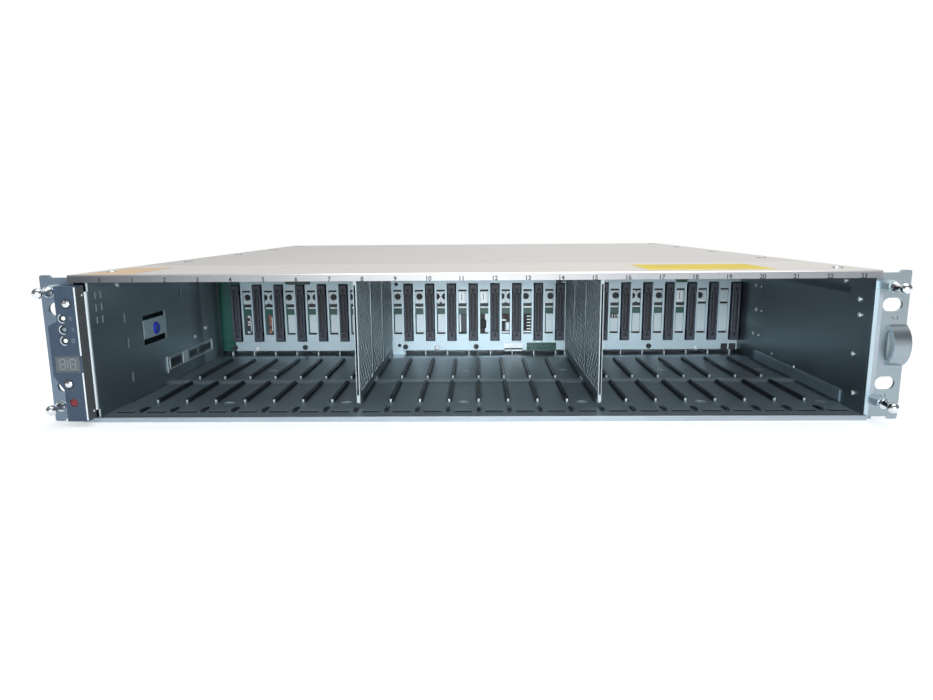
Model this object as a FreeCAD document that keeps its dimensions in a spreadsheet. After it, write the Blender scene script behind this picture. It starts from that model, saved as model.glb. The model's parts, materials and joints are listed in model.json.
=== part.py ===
import FreeCAD, Part
import math
import os
import re

import Sketcher
from FreeCAD import Vector

# Disk shelf enclosure, 19-inch rack, two units high, with 24 upright drive bays, in millimetres.
# +X is to the right seen from the front, +Y goes to the rear and +Z is up. The origin lies on the bottom
# face, in the middle of the body's width, in the plane of the rack ears' rear faces.

# Driving dimensions: name, value, what it sets.
DIMENSIONS = [
    # Body
    ("body_width", 447.0, "outside of the tray's side walls"),
    ("body_height", 84.4, "underside of the tray to the top of the cover"),
    ("body_depth", 485.0, "front lip to rear edge"),
    ("front_reach", 5.6, "front lip ahead of the ears' rear faces"),
    ("wall", 1.2, "sheet of the tray, inner walls and bay frame"),
    ("cover_sheet", 1.0, "sheet of the top cover"),
    ("guide_sheet", 0.8, "sheet of the guide plates"),
    ("clearance", 0.3, "gap round pieces that slide or turn"),
    ("running_fit", 0.05, "radial gap of a pin in its bore"),
    # Front lips and cover
    ("lip_height", 3.0, "front lip of the tray"),
    ("lip_sheet", 2.4, "hemmed thickness of the tray's front lip"),
    ("brow_height", 4.2, "numbered lip of the front cover"),
    ("cover_seam", 84.0, "where the front cover ends"),
    ("seam_gap", 0.5, "gap between the two covers"),
    # Drive bays
    ("bay_count", 24.0, "drive bays across"),
    ("bay_pitch", 18.2, "bay to bay"),
    ("group_bays", 8.0, "bays between two dividers"),
    ("bay_depth", 186.0, "rear end of the bay's guides"),
    ("rib_width", 2.2, "guide rib"),
    ("rib_height", 2.0, "guide rib above its plate"),
    ("front_rib_start", 30.8, "front row of ribs"),
    ("front_rib_end", 83.1, "front row of ribs"),
    ("rear_rib_start", 97.5, "rear row of ribs"),
    ("rear_rib_end", 165.0, "rear row of ribs"),
    ("ridge_start", 81.7, "cross ridge between the rows"),
    ("ridge_width", 12.0, "cross ridge between the rows"),
    ("ridge_height", 0.7, "cross ridge between the rows"),
    ("tab_start", 8.0, "lanced tab at each bay boundary"),
    ("tab_length", 10.0, "lanced tab at each bay boundary"),
    ("bead_length", 10.6, "pressed bead in front of each bay"),
    ("bead_start", 7.5, "pressed bead in front of each bay"),
    ("bead_width", 3.0, "pressed bead in front of each bay"),
    ("dimple_radius", 3.8, "round dimple in the guide plate"),
    ("front_dimple", 29.4, "front row of dimples"),
    ("rear_dimple", 124.0, "rear row of dimples"),
    ("plate_end", 175.0, "rear edge of the floor guide plate"),
    # Dividers
    ("rivet_radius", 1.5, "rivet heads on the bay walls"),
    ("rivet_head", 0.6, "rivet heads on the bay walls"),
    ("plate_screw_height", 7.6, "screws at the foot of the zinc plate"),
    ("cover_screw_inset", 12.0, "cover screws from the side walls"),
    ("cover_screw_first", 20.0, "first and last cover screws from the ends"),
    ("cover_screw_radius", 3.2, "cover screw"),
    ("divider_sheet", 1.1, "divider between two groups of bays"),
    ("divider_front", 20.2, "front edge of the dividers"),
    ("divider_border", 9.0, "solid border round each perforated field"),
    ("bead_rise", 0.8, "vertical bead between the fields"),
    ("hole_flats", 10.0, "hexagonal hole across flats"),
    ("hole_pitch", 13.0, "hexagonal holes along a row"),
    # Midplane
    ("stiffener_front", 194.4, "front face of the zinc plate"),
    ("stiffener_sheet", 1.5, "zinc plate"),
    ("board_gap", 3.0, "zinc plate to board"),
    ("board_sheet", 2.4, "midplane board"),
    ("board_low", 4.0, "bottom edge of the board"),
    ("board_high", 78.0, "top edge of the board and plate"),
    ("connector_reach", 3.0, "connector ahead of the zinc plate"),
    ("connector_low", 12.9, "bottom of the drive connectors"),
    ("connector_high", 60.8, "top of the drive connectors"),
    ("connector_width", 7.3, "end blocks of a drive connector"),
    ("connector_shift", 4.97, "connector to the right of its bay's middle"),
    ("socket_width", 5.6, "middle of a drive connector"),
    ("end_block", 6.5, "height of a connector's end block"),
    ("blade_width", 2.0, "slot for the drive's blade"),
    ("vent_low", 18.4, "air window in the zinc plate"),
    ("vent_high", 56.1, "air window in the zinc plate"),
    ("vent_width", 7.0, "air window in the zinc plate"),
    ("plate_left", -203.0, "left edge of the zinc plate"),
    ("gap_under_plate", 2.6, "long notch under the zinc plate"),
    ("plate_foot", 11.0, "foot of the zinc plate between two notches"),
    ("module_plug_height", 22.0, "rear connectors of the midplane"),
    ("module_plug_depth", 11.0, "rear connectors of the midplane"),
    # Rack ears
    ("rack_width", 482.6, "over both ears"),
    ("ear_height", 84.2, "top of the ears' outer tabs"),
    ("ear_sheet", 2.0, "ear plate"),
    ("ear_step", 1.4, "edge of the ear below its tabs"),
    ("tab_width", 5.0, "outer tabs of the ear"),
    ("inner_tab", 4.5, "inner tab at the foot of the ear"),
    ("ear_leg", 26.0, "leg of the ear along the side wall"),
    ("slot_spacing", 465.1, "rack slots, left to right"),
    ("slot_rise", 44.45, "rack slots, bottom to top"),
    ("slot_middle", 42.9, "middle height of the rack slots"),
    ("slot_length", 11.0, "rack slot"),
    ("slot_width", 7.6, "rack slot"),
    ("loop_low", 30.8, "finger loop of the right ear"),
    ("loop_high", 54.1, "finger loop of the right ear"),
    ("loop_rise", 7.0, "finger loop ahead of the ear"),
    ("loop_width", 9.6, "finger loop"),
    # Bezel studs
    ("stud_right", 226.5, "right studs from the middle"),
    ("stud_left", 230.2, "left studs from the middle"),
    ("stud_low", 11.8, "height of the lower studs"),
    ("stud_rise", 64.2, "lower to upper studs"),
    ("standoff_radius", 2.9, "standoff behind a stud"),
    ("standoff_length", 10.0, "standoff behind a stud"),
    ("neck_radius", 1.6, "neck behind the ball"),
    ("ball_radius", 2.9, "ball of a stud"),
    ("ball_reach", 20.2, "ball's middle ahead of the ear"),
    # Left inner wall and release button
    ("flange_face", 5.0, "bent front edge of the inner wall"),
    ("flange_low", 7.3, "bent front edge of the inner wall"),
    ("flange_high", 75.0, "bent front edge of the inner wall"),
    ("bend_radius", 3.0, "bend of the inner wall"),
    ("window_start", 57.7, "window of the release button"),
    ("window_end", 90.9, "window of the release button"),
    ("window_low", 33.5, "window of the release button"),
    ("window_high", 52.9, "window of the release button"),
    ("leaf_low", 37.5, "leaf that carries the release button"),
    ("leaf_high", 49.8, "leaf that carries the release button"),
    ("leaf_sheet", 0.8, "leaf that carries the release button"),
    ("release_place", 76.5, "release button, along the wall"),
    ("release_height", 42.6, "release button"),
    ("release_radius", 4.2, "release button"),
    # Operator panel
    ("panel_front", 13.6, "front face ahead of the ears' rear faces"),
    ("panel_right", 215.3, "right side from the middle"),
    ("panel_left", 227.0, "left side from the middle"),
    ("panel_bulge", 232.3, "widest part from the middle"),
    ("panel_low", 3.0, "bottom of the panel"),
    ("panel_high", 78.9, "top of the panel"),
    ("bulge_low", 29.0, "bottom of the widest part"),
    ("bulge_high", 57.0, "top of the widest part"),
    ("panel_wall", 1.6, "wall of the moulding"),
    ("display_low", 31.5, "display window"),
    ("display_high", 40.0, "display window"),
    ("display_left", 230.6, "display window from the middle"),
    ("display_right", 216.9, "display window from the middle"),
    ("light_radius", 1.6, "light pipe"),
    ("light_gap", 0.15, "light pipe to its hole and to the housing's wall"),
    ("light_low", 49.0, "lowest light pipe"),
    ("light_pitch", 6.2, "light pipe to light pipe"),
    ("key_flange", 0.5, "flange round the shelf button"),
    ("key_height", 13.8, "shelf button"),
    ("key_radius", 2.1, "shelf button"),
    ("screw_radius", 2.2, "small screw heads"),
    ("screw_head", 1.3, "height of a small screw head"),
    ("panel_board_gap", 3.6, "panel's front face to its board"),
    ("panel_board", 1.2, "thickness of the panel's board"),
    ("ribbon_sheet", 0.5, "flat ribbon of the panel"),
    ("ribbon_low", 12.0, "flat ribbon of the panel"),
    ("ribbon_width", 14.0, "flat ribbon of the panel"),
    # Rear modules
    ("supply_width", 106.0, "power supply"),
    ("supply_case", 1.0, "sheet of the module cases"),
    ("rear_face", 3.0, "rear faces of the modules inside the body's rear edge"),
    ("fan_radius", 18.0, "bore of a fan"),
    ("fan_frame", 40.0, "side of a fan frame"),
    ("fan_depth", 14.0, "depth of a fan frame"),
    ("fan_shift", 20.6, "fans to the left and right of their middle"),
    ("fan_centre", -11.2, "middle of the fans from the supply's middle"),
    ("fan_height", 53.0, "height of the fans' shafts"),
    ("hub_radius", 7.0, "hub of a fan rotor"),
    ("blade_count", 7.0, "blades of a fan rotor"),
    ("shaft_radius", 1.5, "shaft of a fan"),
    ("inlet_width", 27.0, "mains inlet"),
    ("inlet_height", 20.0, "mains inlet"),
    ("inlet_place", -30.0, "mains inlet from the supply's middle"),
    ("inlet_low", 8.0, "bottom of the mains inlet"),
    ("rocker_width", 9.0, "rocker of the power switch"),
    ("rocker_height", 17.0, "rocker of the power switch"),
    ("rocker_place", 0.0, "rocker from the supply's middle"),
    ("rocker_depth", 2.0, "pivot of the rocker inside the module's rear face"),
    ("trunnion_radius", 1.0, "round pins that the rocker tilts on"),
    ("trunnion_reach", 0.5, "pins of the rocker in the switch frame's walls"),
    ("lever_width", 12.0, "cam levers"),
    ("lever_sheet", 2.0, "cam levers"),
    ("lever_reach", 7.5, "grip of a cam lever behind the module"),
    ("lever_inset", 12.0, "cam levers from the module's right side"),
    ("lever_drop", 7.0, "pivot of a cam lever under the module's top"),
    ("pivot_reach", 3.6, "pivot of a cam lever behind the module"),
    ("supply_lever", 56.0, "length of a supply's lever"),
    ("module_lever", 27.0, "length of an I/O module's lever"),
    ("pin_radius", 1.5, "pivot pins of the cam levers"),
    ("shelf_height", 41.6, "shelf between the two I/O modules"),
    ("module_vent_first", 30.0, "first air slot from the module's left side"),
    ("module_vent_drop", 7.0, "air slots under the module's top"),
    ("module_vent_width", 14.0, "air slot"),
    ("module_vent_height", 3.2, "air slot"),
    ("module_vent_pitch", 18.0, "air slot to air slot"),
    ("module_vent_count", 8.0, "air slots of a module"),
    ("port_width", 19.0, "disk port cage"),
    ("port_height", 11.0, "disk port cage"),
    ("port_depth", 30.0, "disk port cage"),
    ("port_sheet", 0.8, "disk port cage"),
    ("jack_width", 16.0, "network jack"),
    ("jack_height", 13.5, "network jack"),
    ("jack_depth", 15.0, "network jack"),
    # Small features
    ("lip_chamfer", 0.4, "softened edges of the front lip"),
    ("brow_chamfer", 0.6, "softened top edge of the brow"),
    ("ridge_slope", 2.0, "sloping sides of the cross ridge"),
    ("tab_slope", 2.0, "sloping front of a lanced tab"),
    ("tab_height", 1.6, "lanced tab above the guide plate"),
    ("bead_slope", 0.9, "sloping sides of a bead"),
    ("hem_width", 3.0, "folded front edge of a divider"),
    ("stiff_width", 5.0, "stiffening bead of a divider"),
    ("stiff_crest", 2.0, "flat top of a stiffening bead"),
    ("stiff_end", 4.0, "stiffening bead from the divider's ends"),
    ("flange_gap", 1.0, "bent edge of the inner wall to the side wall"),
    ("lance_first", 3.5, "first column of lances behind the wall's front edge"),
    ("lance_low", 58.0, "lowest lance"),
    ("lance_width", 2.0, "lance"),
    ("lance_height", 4.0, "lance"),
    ("lance_step", 6.0, "lance to lance, to the rear"),
    ("lance_rise", 7.0, "lance to lance, upward"),
    ("slot_wide", 2.4, "pressed slot in the wall"),
    ("slot_tall", 6.0, "pressed slot in the wall"),
    ("left_guide_start", 85.5, "guide strip on the left bay wall"),
    ("left_guide_end", 170.0, "guide strip on the left bay wall"),
    ("left_guide_low", 10.6, "guide strip on the left bay wall"),
    ("left_guide_high", 20.0, "guide strip on the left bay wall"),
    ("right_guide_start", 24.5, "guide strip on the right bay wall"),
    ("right_guide_end", 156.0, "guide strip on the right bay wall"),
    ("right_guide_high", 11.0, "guide strip on the right bay wall"),
    ("guide_bar", 0.9, "thickness of the guide strips"),
    ("leaf_tail", 6.0, "part of the leaf that lies behind the wall"),
    ("collar_depth", 0.8, "collar that stops the release button"),
    ("collar_rim", 1.4, "collar that stops the release button"),
    ("release_rise", 0.8, "face of the release button proud of the wall"),
    ("release_chamfer", 0.6, "softened rim of the release button"),
    ("opening_gap", 0.4, "zinc plate's openings round the connectors"),
    ("air_shift", 4.0, "air holes of the board above the middle of the plate's vents"),
    ("air_width", 5.5, "air hole of the board"),
    ("air_height", 16.0, "air hole of the board"),
    ("socket_setback", 0.6, "connector's mouth behind its end blocks"),
    ("socket_floor", 2.0, "floor of the connector's mouth"),
    ("mouth_margin", 1.0, "connector's mouth from its end blocks"),
    ("ear_corner", 1.2, "rounded outer corners of the ears"),
    ("ear_slope", 1.5, "slope beside the ears' outer tabs"),
    ("leg_margin", 4.0, "ear's leg from its ends"),
    ("stud_flange", 2.2, "straight part of a stud's base"),
    ("stud_cone", 5.0, "end of a stud's cone from its base"),
    ("bulge_upper", 3.0, "slope above the panel's bulge"),
    ("bulge_lower", 8.0, "slope below the panel's bulge"),
    ("screw_sink", 0.2, "panel's screws behind its face"),
    ("supply_plug_window", 46.0, "opening in a supply's front for its plug"),
    ("switch_rim", 3.0, "frame round the rocker"),
    ("spoke_width", 2.0, "spokes of a fan frame"),
    ("spoke_sheet", 1.5, "spokes of a fan frame"),
    ("fan_seat", 3.0, "motor seat of a fan frame"),
    ("inlet_depth", 18.0, "mains inlet"),
    ("pin_setback", 5.0, "pins of the mains inlet behind its face"),
    ("inlet_pin_step", 7.0, "pin to pin of the mains inlet"),
    ("switch_depth", 12.0, "frame of the power switch"),
    ("blade_margin", 0.6, "blades from the hub's ends"),
    ("blade_pitch", 3.4, "turn of a blade to each side"),
    ("blade_sheet", 1.2, "thickness of a blade"),
    ("tip_gap", 1.2, "blades to the fan's bore"),
    ("cheek_foot", 4.0, "half height of a lever's cheek at its foot"),
    ("cheek_tip", 2.5, "half height of a lever's cheek at its tip"),
    ("cheek_wall", 2.0, "cheek behind the lever's pin"),
    ("deck_height", 5.0, "board above the module's floor"),
    ("first_port", -44.0, "first disk port from the middle"),
    ("port_step", 26.0, "disk port to disk port"),
    ("jack_place", 16.0, "pair of network jacks from the middle"),
    ("module_plug_window", 66.0, "opening in a module's front for its plug"),
    ("card_sheet", 1.6, "circuit boards of the rear modules"),
]
NAMES = {name for name, number, meaning in DIMENSIONS}

# Derived places, as formulas of the driving dimensions
FRONT = "(-front_reach)"
REAR = "(body_depth - front_reach)"
SIDE = "(body_width / 2)"
INSIDE = "(body_width / 2 - wall)"
BAYS_RIGHT = INSIDE
BAYS_LEFT = "(body_width / 2 - wall - bay_count * bay_pitch)"
GROUP = "(group_bays * bay_pitch)"
UNDER_COVER = "(body_height - cover_sheet)"
FLOOR_TOP = "(wall + guide_sheet)"
CEILING = "(body_height - cover_sheet - guide_sheet)"
EAR_FRONT = "(-ear_sheet)"
BOARD_FRONT = "(stiffener_front + stiffener_sheet + board_gap)"
BOARD_REAR = "(stiffener_front + stiffener_sheet + board_gap + board_sheet)"
PANEL_FACE = "(-panel_front)"
PANEL_BOARD_FRONT = "(panel_board_gap - panel_front)"
LIGHTS = "(panel_left - panel_wall - light_gap - light_radius)"
KEY = "(panel_left - panel_wall - clearance - key_radius - key_flange)"
MODULE_FRONT = f"({BOARD_REAR} + module_plug_depth + clearance)"
MODULE_REAR = "(body_depth - front_reach - rear_face)"
FRAME_WALL = "(body_width / 2 - wall - supply_width - 2 * clearance - wall)"

# Places of single features, to the rear and upward
WALL_SLOTS = [("34", "55"), ("36", "39"), ("38", "17"), ("118", "62"), ("146", "64")]
RIGHT_RIVETS = [("12.4", "66.7"), ("10.9", "57.9"), ("14.4", "34.7"), ("10.4", "12.2"), ("29.4", "76"),
                ("161.9", "61"), ("158.4", "42.6"), ("161.4", "23.4")]
LEFT_RIVETS = [("137.8", "26.5"), ("30", "76"), ("160", "30")]
# Screws of the panel, across and upward, and of the zinc plate, from the first bay's left side
PANEL_SCREWS = [("-220.7", "69.4"), ("-223.9", "24.5")]
PLATE_SCREWS = ["11", "71"]

doc = FreeCAD.newDocument("DiskShelf")
sheet = doc.addObject("Spreadsheet::Sheet", "Dimensions")
for row, (name, number, meaning) in enumerate(DIMENSIONS, start=1):
    sheet.set(f"A{row}", name)
    sheet.set(f"B{row}", str(number))
    sheet.set(f"C{row}", meaning)
    sheet.setAlias(f"B{row}", name)
doc.recompute()

# A sketch plane's name in its body's origin, and which way its normal points along the axis it faces
PLANES = {"XY": ("XY_Plane", 1), "XZ": ("XZ_Plane", -1), "YZ": ("YZ_Plane", 1)}
nodes = []


def bound(formula):
    """The formula with each dimension read from the sheet."""
    return re.sub(r"[a-z][a-z_]*", lambda word: named(word.group()), str(formula))


def named(word):
    return f"Dimensions.{word}" if word in NAMES else word


def value(formula):
    return float(sheet.evalExpression(bound(formula)))


# Sketch outlines


def pin_point(plan, geometry, which, across, up):
    """Hold one point of a sketch at the place that two formulas give."""
    for kind, formula in (("DistanceX", across), ("DistanceY", up)):
        number = plan.addConstraint(Sketcher.Constraint(kind, -1, 1, geometry, which, value(formula)))
        plan.setExpression(f"Constraints[{number}]", bound(formula))


def draw_outline(corners):
    """A closed outline of straight lines; each corner is a pair of formulas."""

    def draw(plan):
        first = plan.GeometryCount
        spots = [Vector(value(across), value(up), 0) for across, up in corners]
        for start, end in zip(spots, spots[1:] + spots[:1]):
            plan.addGeometry(Part.LineSegment(start, end))
        for index, (across, up) in enumerate(corners):
            following = first + (index + 1) % len(corners)
            plan.addConstraint(Sketcher.Constraint("Coincident", first + index, 2, following, 1))
            pin_point(plan, first + index, 1, across, up)

    return draw


def draw_box(left, right, low, high):
    return draw_outline([(left, low), (right, low), (right, high), (left, high)])


def draw_centred(across, up, width, height):
    """A rectangle round its middle."""
    half_width = f"({width}) / 2"
    half_height = f"({height}) / 2"
    return draw_box(
        f"{across} - {half_width}", f"{across} + {half_width}",
        f"{up} - {half_height}", f"{up} + {half_height}",
    )


def draw_circle(across, up, radius):
    def draw(plan):
        centre = Vector(value(across), value(up), 0)
        circle = plan.addGeometry(Part.Circle(centre, Vector(0, 0, 1), value(radius)))
        pin_point(plan, circle, 3, across, up)
        number = plan.addConstraint(Sketcher.Constraint("Radius", circle, value(radius)))
        plan.setExpression(f"Constraints[{number}]", bound(radius))

    return draw


def draw_slot(across, up, length, width):
    """A slot with round ends, its length along the sketch's first axis."""

    def draw(plan):
        radius = f"({width}) / 2"
        reach = f"(({length}) - ({width})) / 2"
        ends = []
        for turn in (1, -1):
            level = f"{across} + {turn} * {reach}"
            middle = Vector(value(level), value(up), 0)
            circle = Part.Circle(middle, Vector(0, 0, 1), value(radius))
            start = -turn * math.pi / 2
            arc = plan.addGeometry(Part.ArcOfCircle(circle, start, start + math.pi))
            pin_point(plan, arc, 3, level, up)
            pin_point(plan, arc, 1, level, f"{up} - {turn} * {radius}")
            number = plan.addConstraint(Sketcher.Constraint("DistanceX", -1, 1, arc, 2, value(level)))
            plan.setExpression(f"Constraints[{number}]", bound(level))
            ends.append(arc)
        for here, there in (ends, ends[::-1]):
            start, end = plan.getPoint(here, 2), plan.getPoint(there, 1)
            line = plan.addGeometry(Part.LineSegment(start, end))
            plan.addConstraint(Sketcher.Constraint("Coincident", here, 2, line, 1))
            plan.addConstraint(Sketcher.Constraint("Coincident", line, 2, there, 1))

    return draw


def draw_hexagon(across, up, flats):
    """A hexagon with two sides upright."""
    half = f"({flats}) / 2"
    reach = f"({flats}) * 0.57735"
    return draw_outline(
        [
            (f"{across}", f"{up} - {reach}"),
            (f"{across} + {half}", f"{up} - {reach} / 2"),
            (f"{across} + {half}", f"{up} + {reach} / 2"),
            (f"{across}", f"{up} + {reach}"),
            (f"{across} - {half}", f"{up} + {reach} / 2"),
            (f"{across} - {half}", f"{up} - {reach} / 2"),
        ]
    )


def draw_rib(across, start, end, width):
    """A bar along the sketch's upright axis with chamfered tips."""
    half, corner = f"({width}) / 2", f"({width}) / 4"
    right = [(half, f"{start} + {corner} * 2"), (half, f"{end} - {corner} * 2"), (corner, end)]
    left = [(f"-{x}", up) for x, up in reversed(right)]
    tips = [(f"-{corner}", start), (corner, start)]
    return draw_outline([(f"{across} + {x}", up) for x, up in tips + right + left])


def draw_disc(across, up, radius, sides=12):
    """A many-sided disc for small heads, with few faces."""
    turns = [360 * (number + 0.5) / sides for number in range(sides)]
    return draw_outline([(f"{across} + ({radius}) * cos({turn})", f"{up} + ({radius}) * sin({turn})")
                         for turn in turns])


def draw_all(*outlines):
    def draw(plan):
        for outline in outlines:
            outline(plan)

    return draw


# Features


def new_body(label, across="0", along="0", up="0"):
    """A body for one sub-part, with its own origin at the given place."""
    body = doc.addObject("PartDesign::Body", label)
    body.Label = label
    body.AllowCompound = True
    for axis, formula in zip("xyz", (across, along, up)):
        body.setExpression(f"Placement.Base.{axis}", bound(formula))
    nodes.append(body)
    return body


def new_plan(body, plane, at, draw):
    """A sketch on one of the body's origin planes, moved along that plane's axis."""
    role, direction = PLANES[plane]
    plan = body.newObject("Sketcher::SketchObject", f"{body.Name}_plan")
    plan.AttachmentSupport = [(next(item for item in body.Origin.OriginFeatures if item.Role == role), "")]
    plan.MapMode = "FlatFace"
    plan.setExpression("AttachmentOffset.Base.z", bound(f"{direction} * ({at})"))
    draw(plan)
    return plan


def add(body, plane, low, high, draw):
    """Material between two places on the axis that the plane faces."""
    forward = PLANES[plane][1] > 0
    feature = body.newObject("PartDesign::Pad", f"{body.Name}_pad")
    feature.Profile = new_plan(body, plane, low if forward else high, draw)
    feature.setExpression("Length", bound(f"({high}) - ({low})"))
    return finish_feature(body, feature)


def cut(body, plane, low, high, draw):
    """A hole or recess between two places on the axis that the plane faces."""
    doc.recompute()
    before = body.Shape.Volume
    forward = PLANES[plane][1] > 0
    feature = body.newObject("PartDesign::Pocket", f"{body.Name}_pocket")
    feature.Profile = new_plan(body, plane, high if forward else low, draw)
    feature.setExpression("Length", bound(f"({high}) - ({low})"))
    finish_feature(body, feature)
    doc.recompute()
    if not body.Shape.Volume < before:
        raise RuntimeError(f"{body.Label}: a pocket cut nothing")
    return feature


def finish_feature(body, feature):
    feature.Profile[0].Visibility = False
    body.Tip = feature
    return feature


def repeat(body, feature, step, count, axis="H_Axis", second=None):
    """A row of a feature along its sketch's axis, or a grid with a second (step, count, axis)."""
    row = body.newObject("PartDesign::LinearPattern", f"{body.Name}_row")
    row.Originals = [feature]
    plan = feature.Profile[0]
    row.Direction = (plan, [axis])
    row.Mode = "Spacing"
    row.setExpression("Offset", bound(step))
    row.setExpression("Occurrences", bound(count))
    if second:
        cross_step, cross_count, cross_axis = second
        row.Direction2 = (plan, [cross_axis])
        row.setExpression("Length2", bound(f"({cross_step}) * ({cross_count} - 1)"))
        row.setExpression("Occurrences2", bound(cross_count))
    body.Tip = row
    return row


def revolve(body, plane, draw, axis="V_Axis"):
    """A full turn of a sketch round one of its own axes."""
    feature = body.newObject("PartDesign::Revolution", f"{body.Name}_turned")
    feature.Profile = new_plan(body, plane, "0", draw)
    feature.ReferenceAxis = (feature.Profile[0], [axis])
    feature.Angle = 360
    return finish_feature(body, feature)


def round_edges(body, feature, radius, wanted):
    """Fillet the edges of a feature that the test picks by their middle and direction."""
    doc.recompute()
    picked = []
    for number, edge in enumerate(feature.Shape.Edges, start=1):
        ends = edge.Vertexes
        along = (ends[-1].Point - ends[0].Point).normalize() if len(ends) == 2 else Vector()
        if wanted(edge.CenterOfMass, along):
            picked.append(f"Edge{number}")
    fillet = body.newObject("PartDesign::Fillet", f"{body.Name}_round")
    fillet.Base = (feature, picked)
    fillet.setExpression("Radius", bound(radius))
    body.Tip = fillet
    return fillet


def bay_middle(number):
    return f"({BAYS_LEFT} + ({number} + 0.5) * bay_pitch)"


# Enclosure


def make_tray():
    """Folded tray: floor, two side walls and the hemmed lip under the drive bays."""
    body = new_body("chassis_tray")
    corners = [
        (f"-{SIDE}", "0"),
        (SIDE, "0"),
        (SIDE, UNDER_COVER),
        (INSIDE, UNDER_COVER),
        (INSIDE, "wall"),
        (f"-{INSIDE}", "wall"),
        (f"-{INSIDE}", UNDER_COVER),
        (f"-{SIDE}", UNDER_COVER),
    ]
    add(body, "XZ", "0", REAR, draw_outline(corners))
    lip = [
        (FRONT, "lip_chamfer"),
        (f"{FRONT} + lip_chamfer", "0"),
        ("0", "0"),
        ("0", "wall"),
        (f"{FRONT} + lip_sheet", "wall"),
        (f"{FRONT} + lip_sheet", "lip_height - lip_chamfer"),
        (f"{FRONT} + lip_sheet - lip_chamfer", "lip_height"),
        (f"{FRONT} + lip_chamfer", "lip_height"),
        (FRONT, "lip_height - lip_chamfer"),
    ]
    add(body, "YZ", f"-{INSIDE}", INSIDE, draw_outline(lip))


def make_covers():
    """Front cover with the numbered brow, and the long rear cover."""
    front = new_body("top_cover_front")
    profile = [
        (FRONT, "body_height - brow_height"),
        (f"{FRONT} + wall", "body_height - brow_height"),
        (f"{FRONT} + wall", UNDER_COVER),
        ("cover_seam", UNDER_COVER),
        ("cover_seam", "body_height"),
        (f"{FRONT} + brow_chamfer", "body_height"),
        (FRONT, "body_height - brow_chamfer"),
    ]
    add(front, "YZ", f"-{SIDE}", SIDE, draw_outline(profile))
    rear = new_body("top_cover_rear")
    edge = "(cover_seam + seam_gap)"
    add(rear, "XY", UNDER_COVER, "body_height", draw_box(f"-{SIDE}", SIDE, edge, REAR))


def make_cover_screws():
    """Flat screws along both sides of the covers."""
    body = new_body("cover_screws")
    screw = add(
        body,
        "XY",
        "body_height",
        "body_height + 0.5",
        draw_disc(f"cover_screw_inset - {SIDE}", "cover_screw_first", "cover_screw_radius"),
    )
    across = "body_width - 2 * cover_screw_inset"
    along = f"({REAR} - 2 * cover_screw_first) / 4"
    repeat(body, screw, across, "2", "H_Axis", (along, "5", "V_Axis"))


# Drive cage


def make_floor_guide():
    """Guide plate: two rows of round-ended ribs, a cross ridge, tabs, beads and dimples."""
    body = new_body("floor_guide_plate")
    add(body, "XY", "wall", FLOOR_TOP, draw_box(BAYS_LEFT, BAYS_RIGHT, f"{FRONT} + lip_sheet", "plate_end"))
    first = f"({BAYS_LEFT} + bay_pitch)"
    steps = "bay_count - 1"
    top = f"({FLOOR_TOP} + rib_height)"
    for start, end in (("front_rib_start", "front_rib_end"), ("rear_rib_start", "rear_rib_end")):
        rib = add(body, "XY", FLOOR_TOP, top, draw_rib(first, start, end, "rib_width"))
        repeat(body, rib, "bay_pitch", steps)
    ridge_top = f"({FLOOR_TOP} + ridge_height)"
    ridge = [
        ("ridge_start", FLOOR_TOP),
        ("ridge_start + ridge_width", FLOOR_TOP),
        ("ridge_start + ridge_width - ridge_slope", ridge_top),
        ("ridge_start + ridge_slope", ridge_top),
    ]
    add(body, "YZ", BAYS_LEFT, BAYS_RIGHT, draw_outline(ridge))
    tab = [
        ("tab_start", FLOOR_TOP),
        ("tab_start + tab_length", FLOOR_TOP),
        ("tab_start + tab_length", f"{FLOOR_TOP} + tab_height / 2"),
        ("tab_start + tab_slope", f"{FLOOR_TOP} + tab_height"),
    ]
    lance = add(body, "YZ", f"{first} - rib_width / 2", f"{first} + rib_width / 2", draw_outline(tab))
    repeat(body, lance, "bay_pitch", steps, "N_Axis")
    bead = [
        ("bead_start", FLOOR_TOP),
        ("bead_start + bead_width", FLOOR_TOP),
        ("bead_start + bead_width - bead_slope", f"{FLOOR_TOP} + ridge_height"),
        ("bead_start + bead_slope", f"{FLOOR_TOP} + ridge_height"),
    ]
    middle = bay_middle("0")
    bar = add(body, "YZ", f"{middle} - bead_length / 2", f"{middle} + bead_length / 2", draw_outline(bead))
    repeat(body, bar, "bay_pitch", "bay_count", "N_Axis")
    for place in ("front_dimple", "rear_dimple"):
        dish = cut(body, "XY", f"{FLOOR_TOP} - guide_sheet / 2", FLOOR_TOP,
                   draw_disc(bay_middle("3"), place, "dimple_radius"))
        repeat(body, dish, "bay_pitch * 4", "bay_count / 4 - 1")


def make_ceiling_guide():
    """Guide plate under the cover, with plain ribs that hang over the floor's."""
    body = new_body("ceiling_guide_plate")
    front = f"{FRONT} + wall + clearance"
    add(body, "XY", CEILING, UNDER_COVER, draw_box(BAYS_LEFT, BAYS_RIGHT, front, "bay_depth"))
    first = f"({BAYS_LEFT} + bay_pitch)"
    left, right = f"{first} - rib_width / 2", f"{first} + rib_width / 2"
    outline = draw_box(left, right, "front_rib_start", "rear_rib_end")
    rib = add(body, "XY", f"{CEILING} - rib_height", CEILING, outline)
    repeat(body, rib, "bay_pitch", "bay_count - 1")


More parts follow.
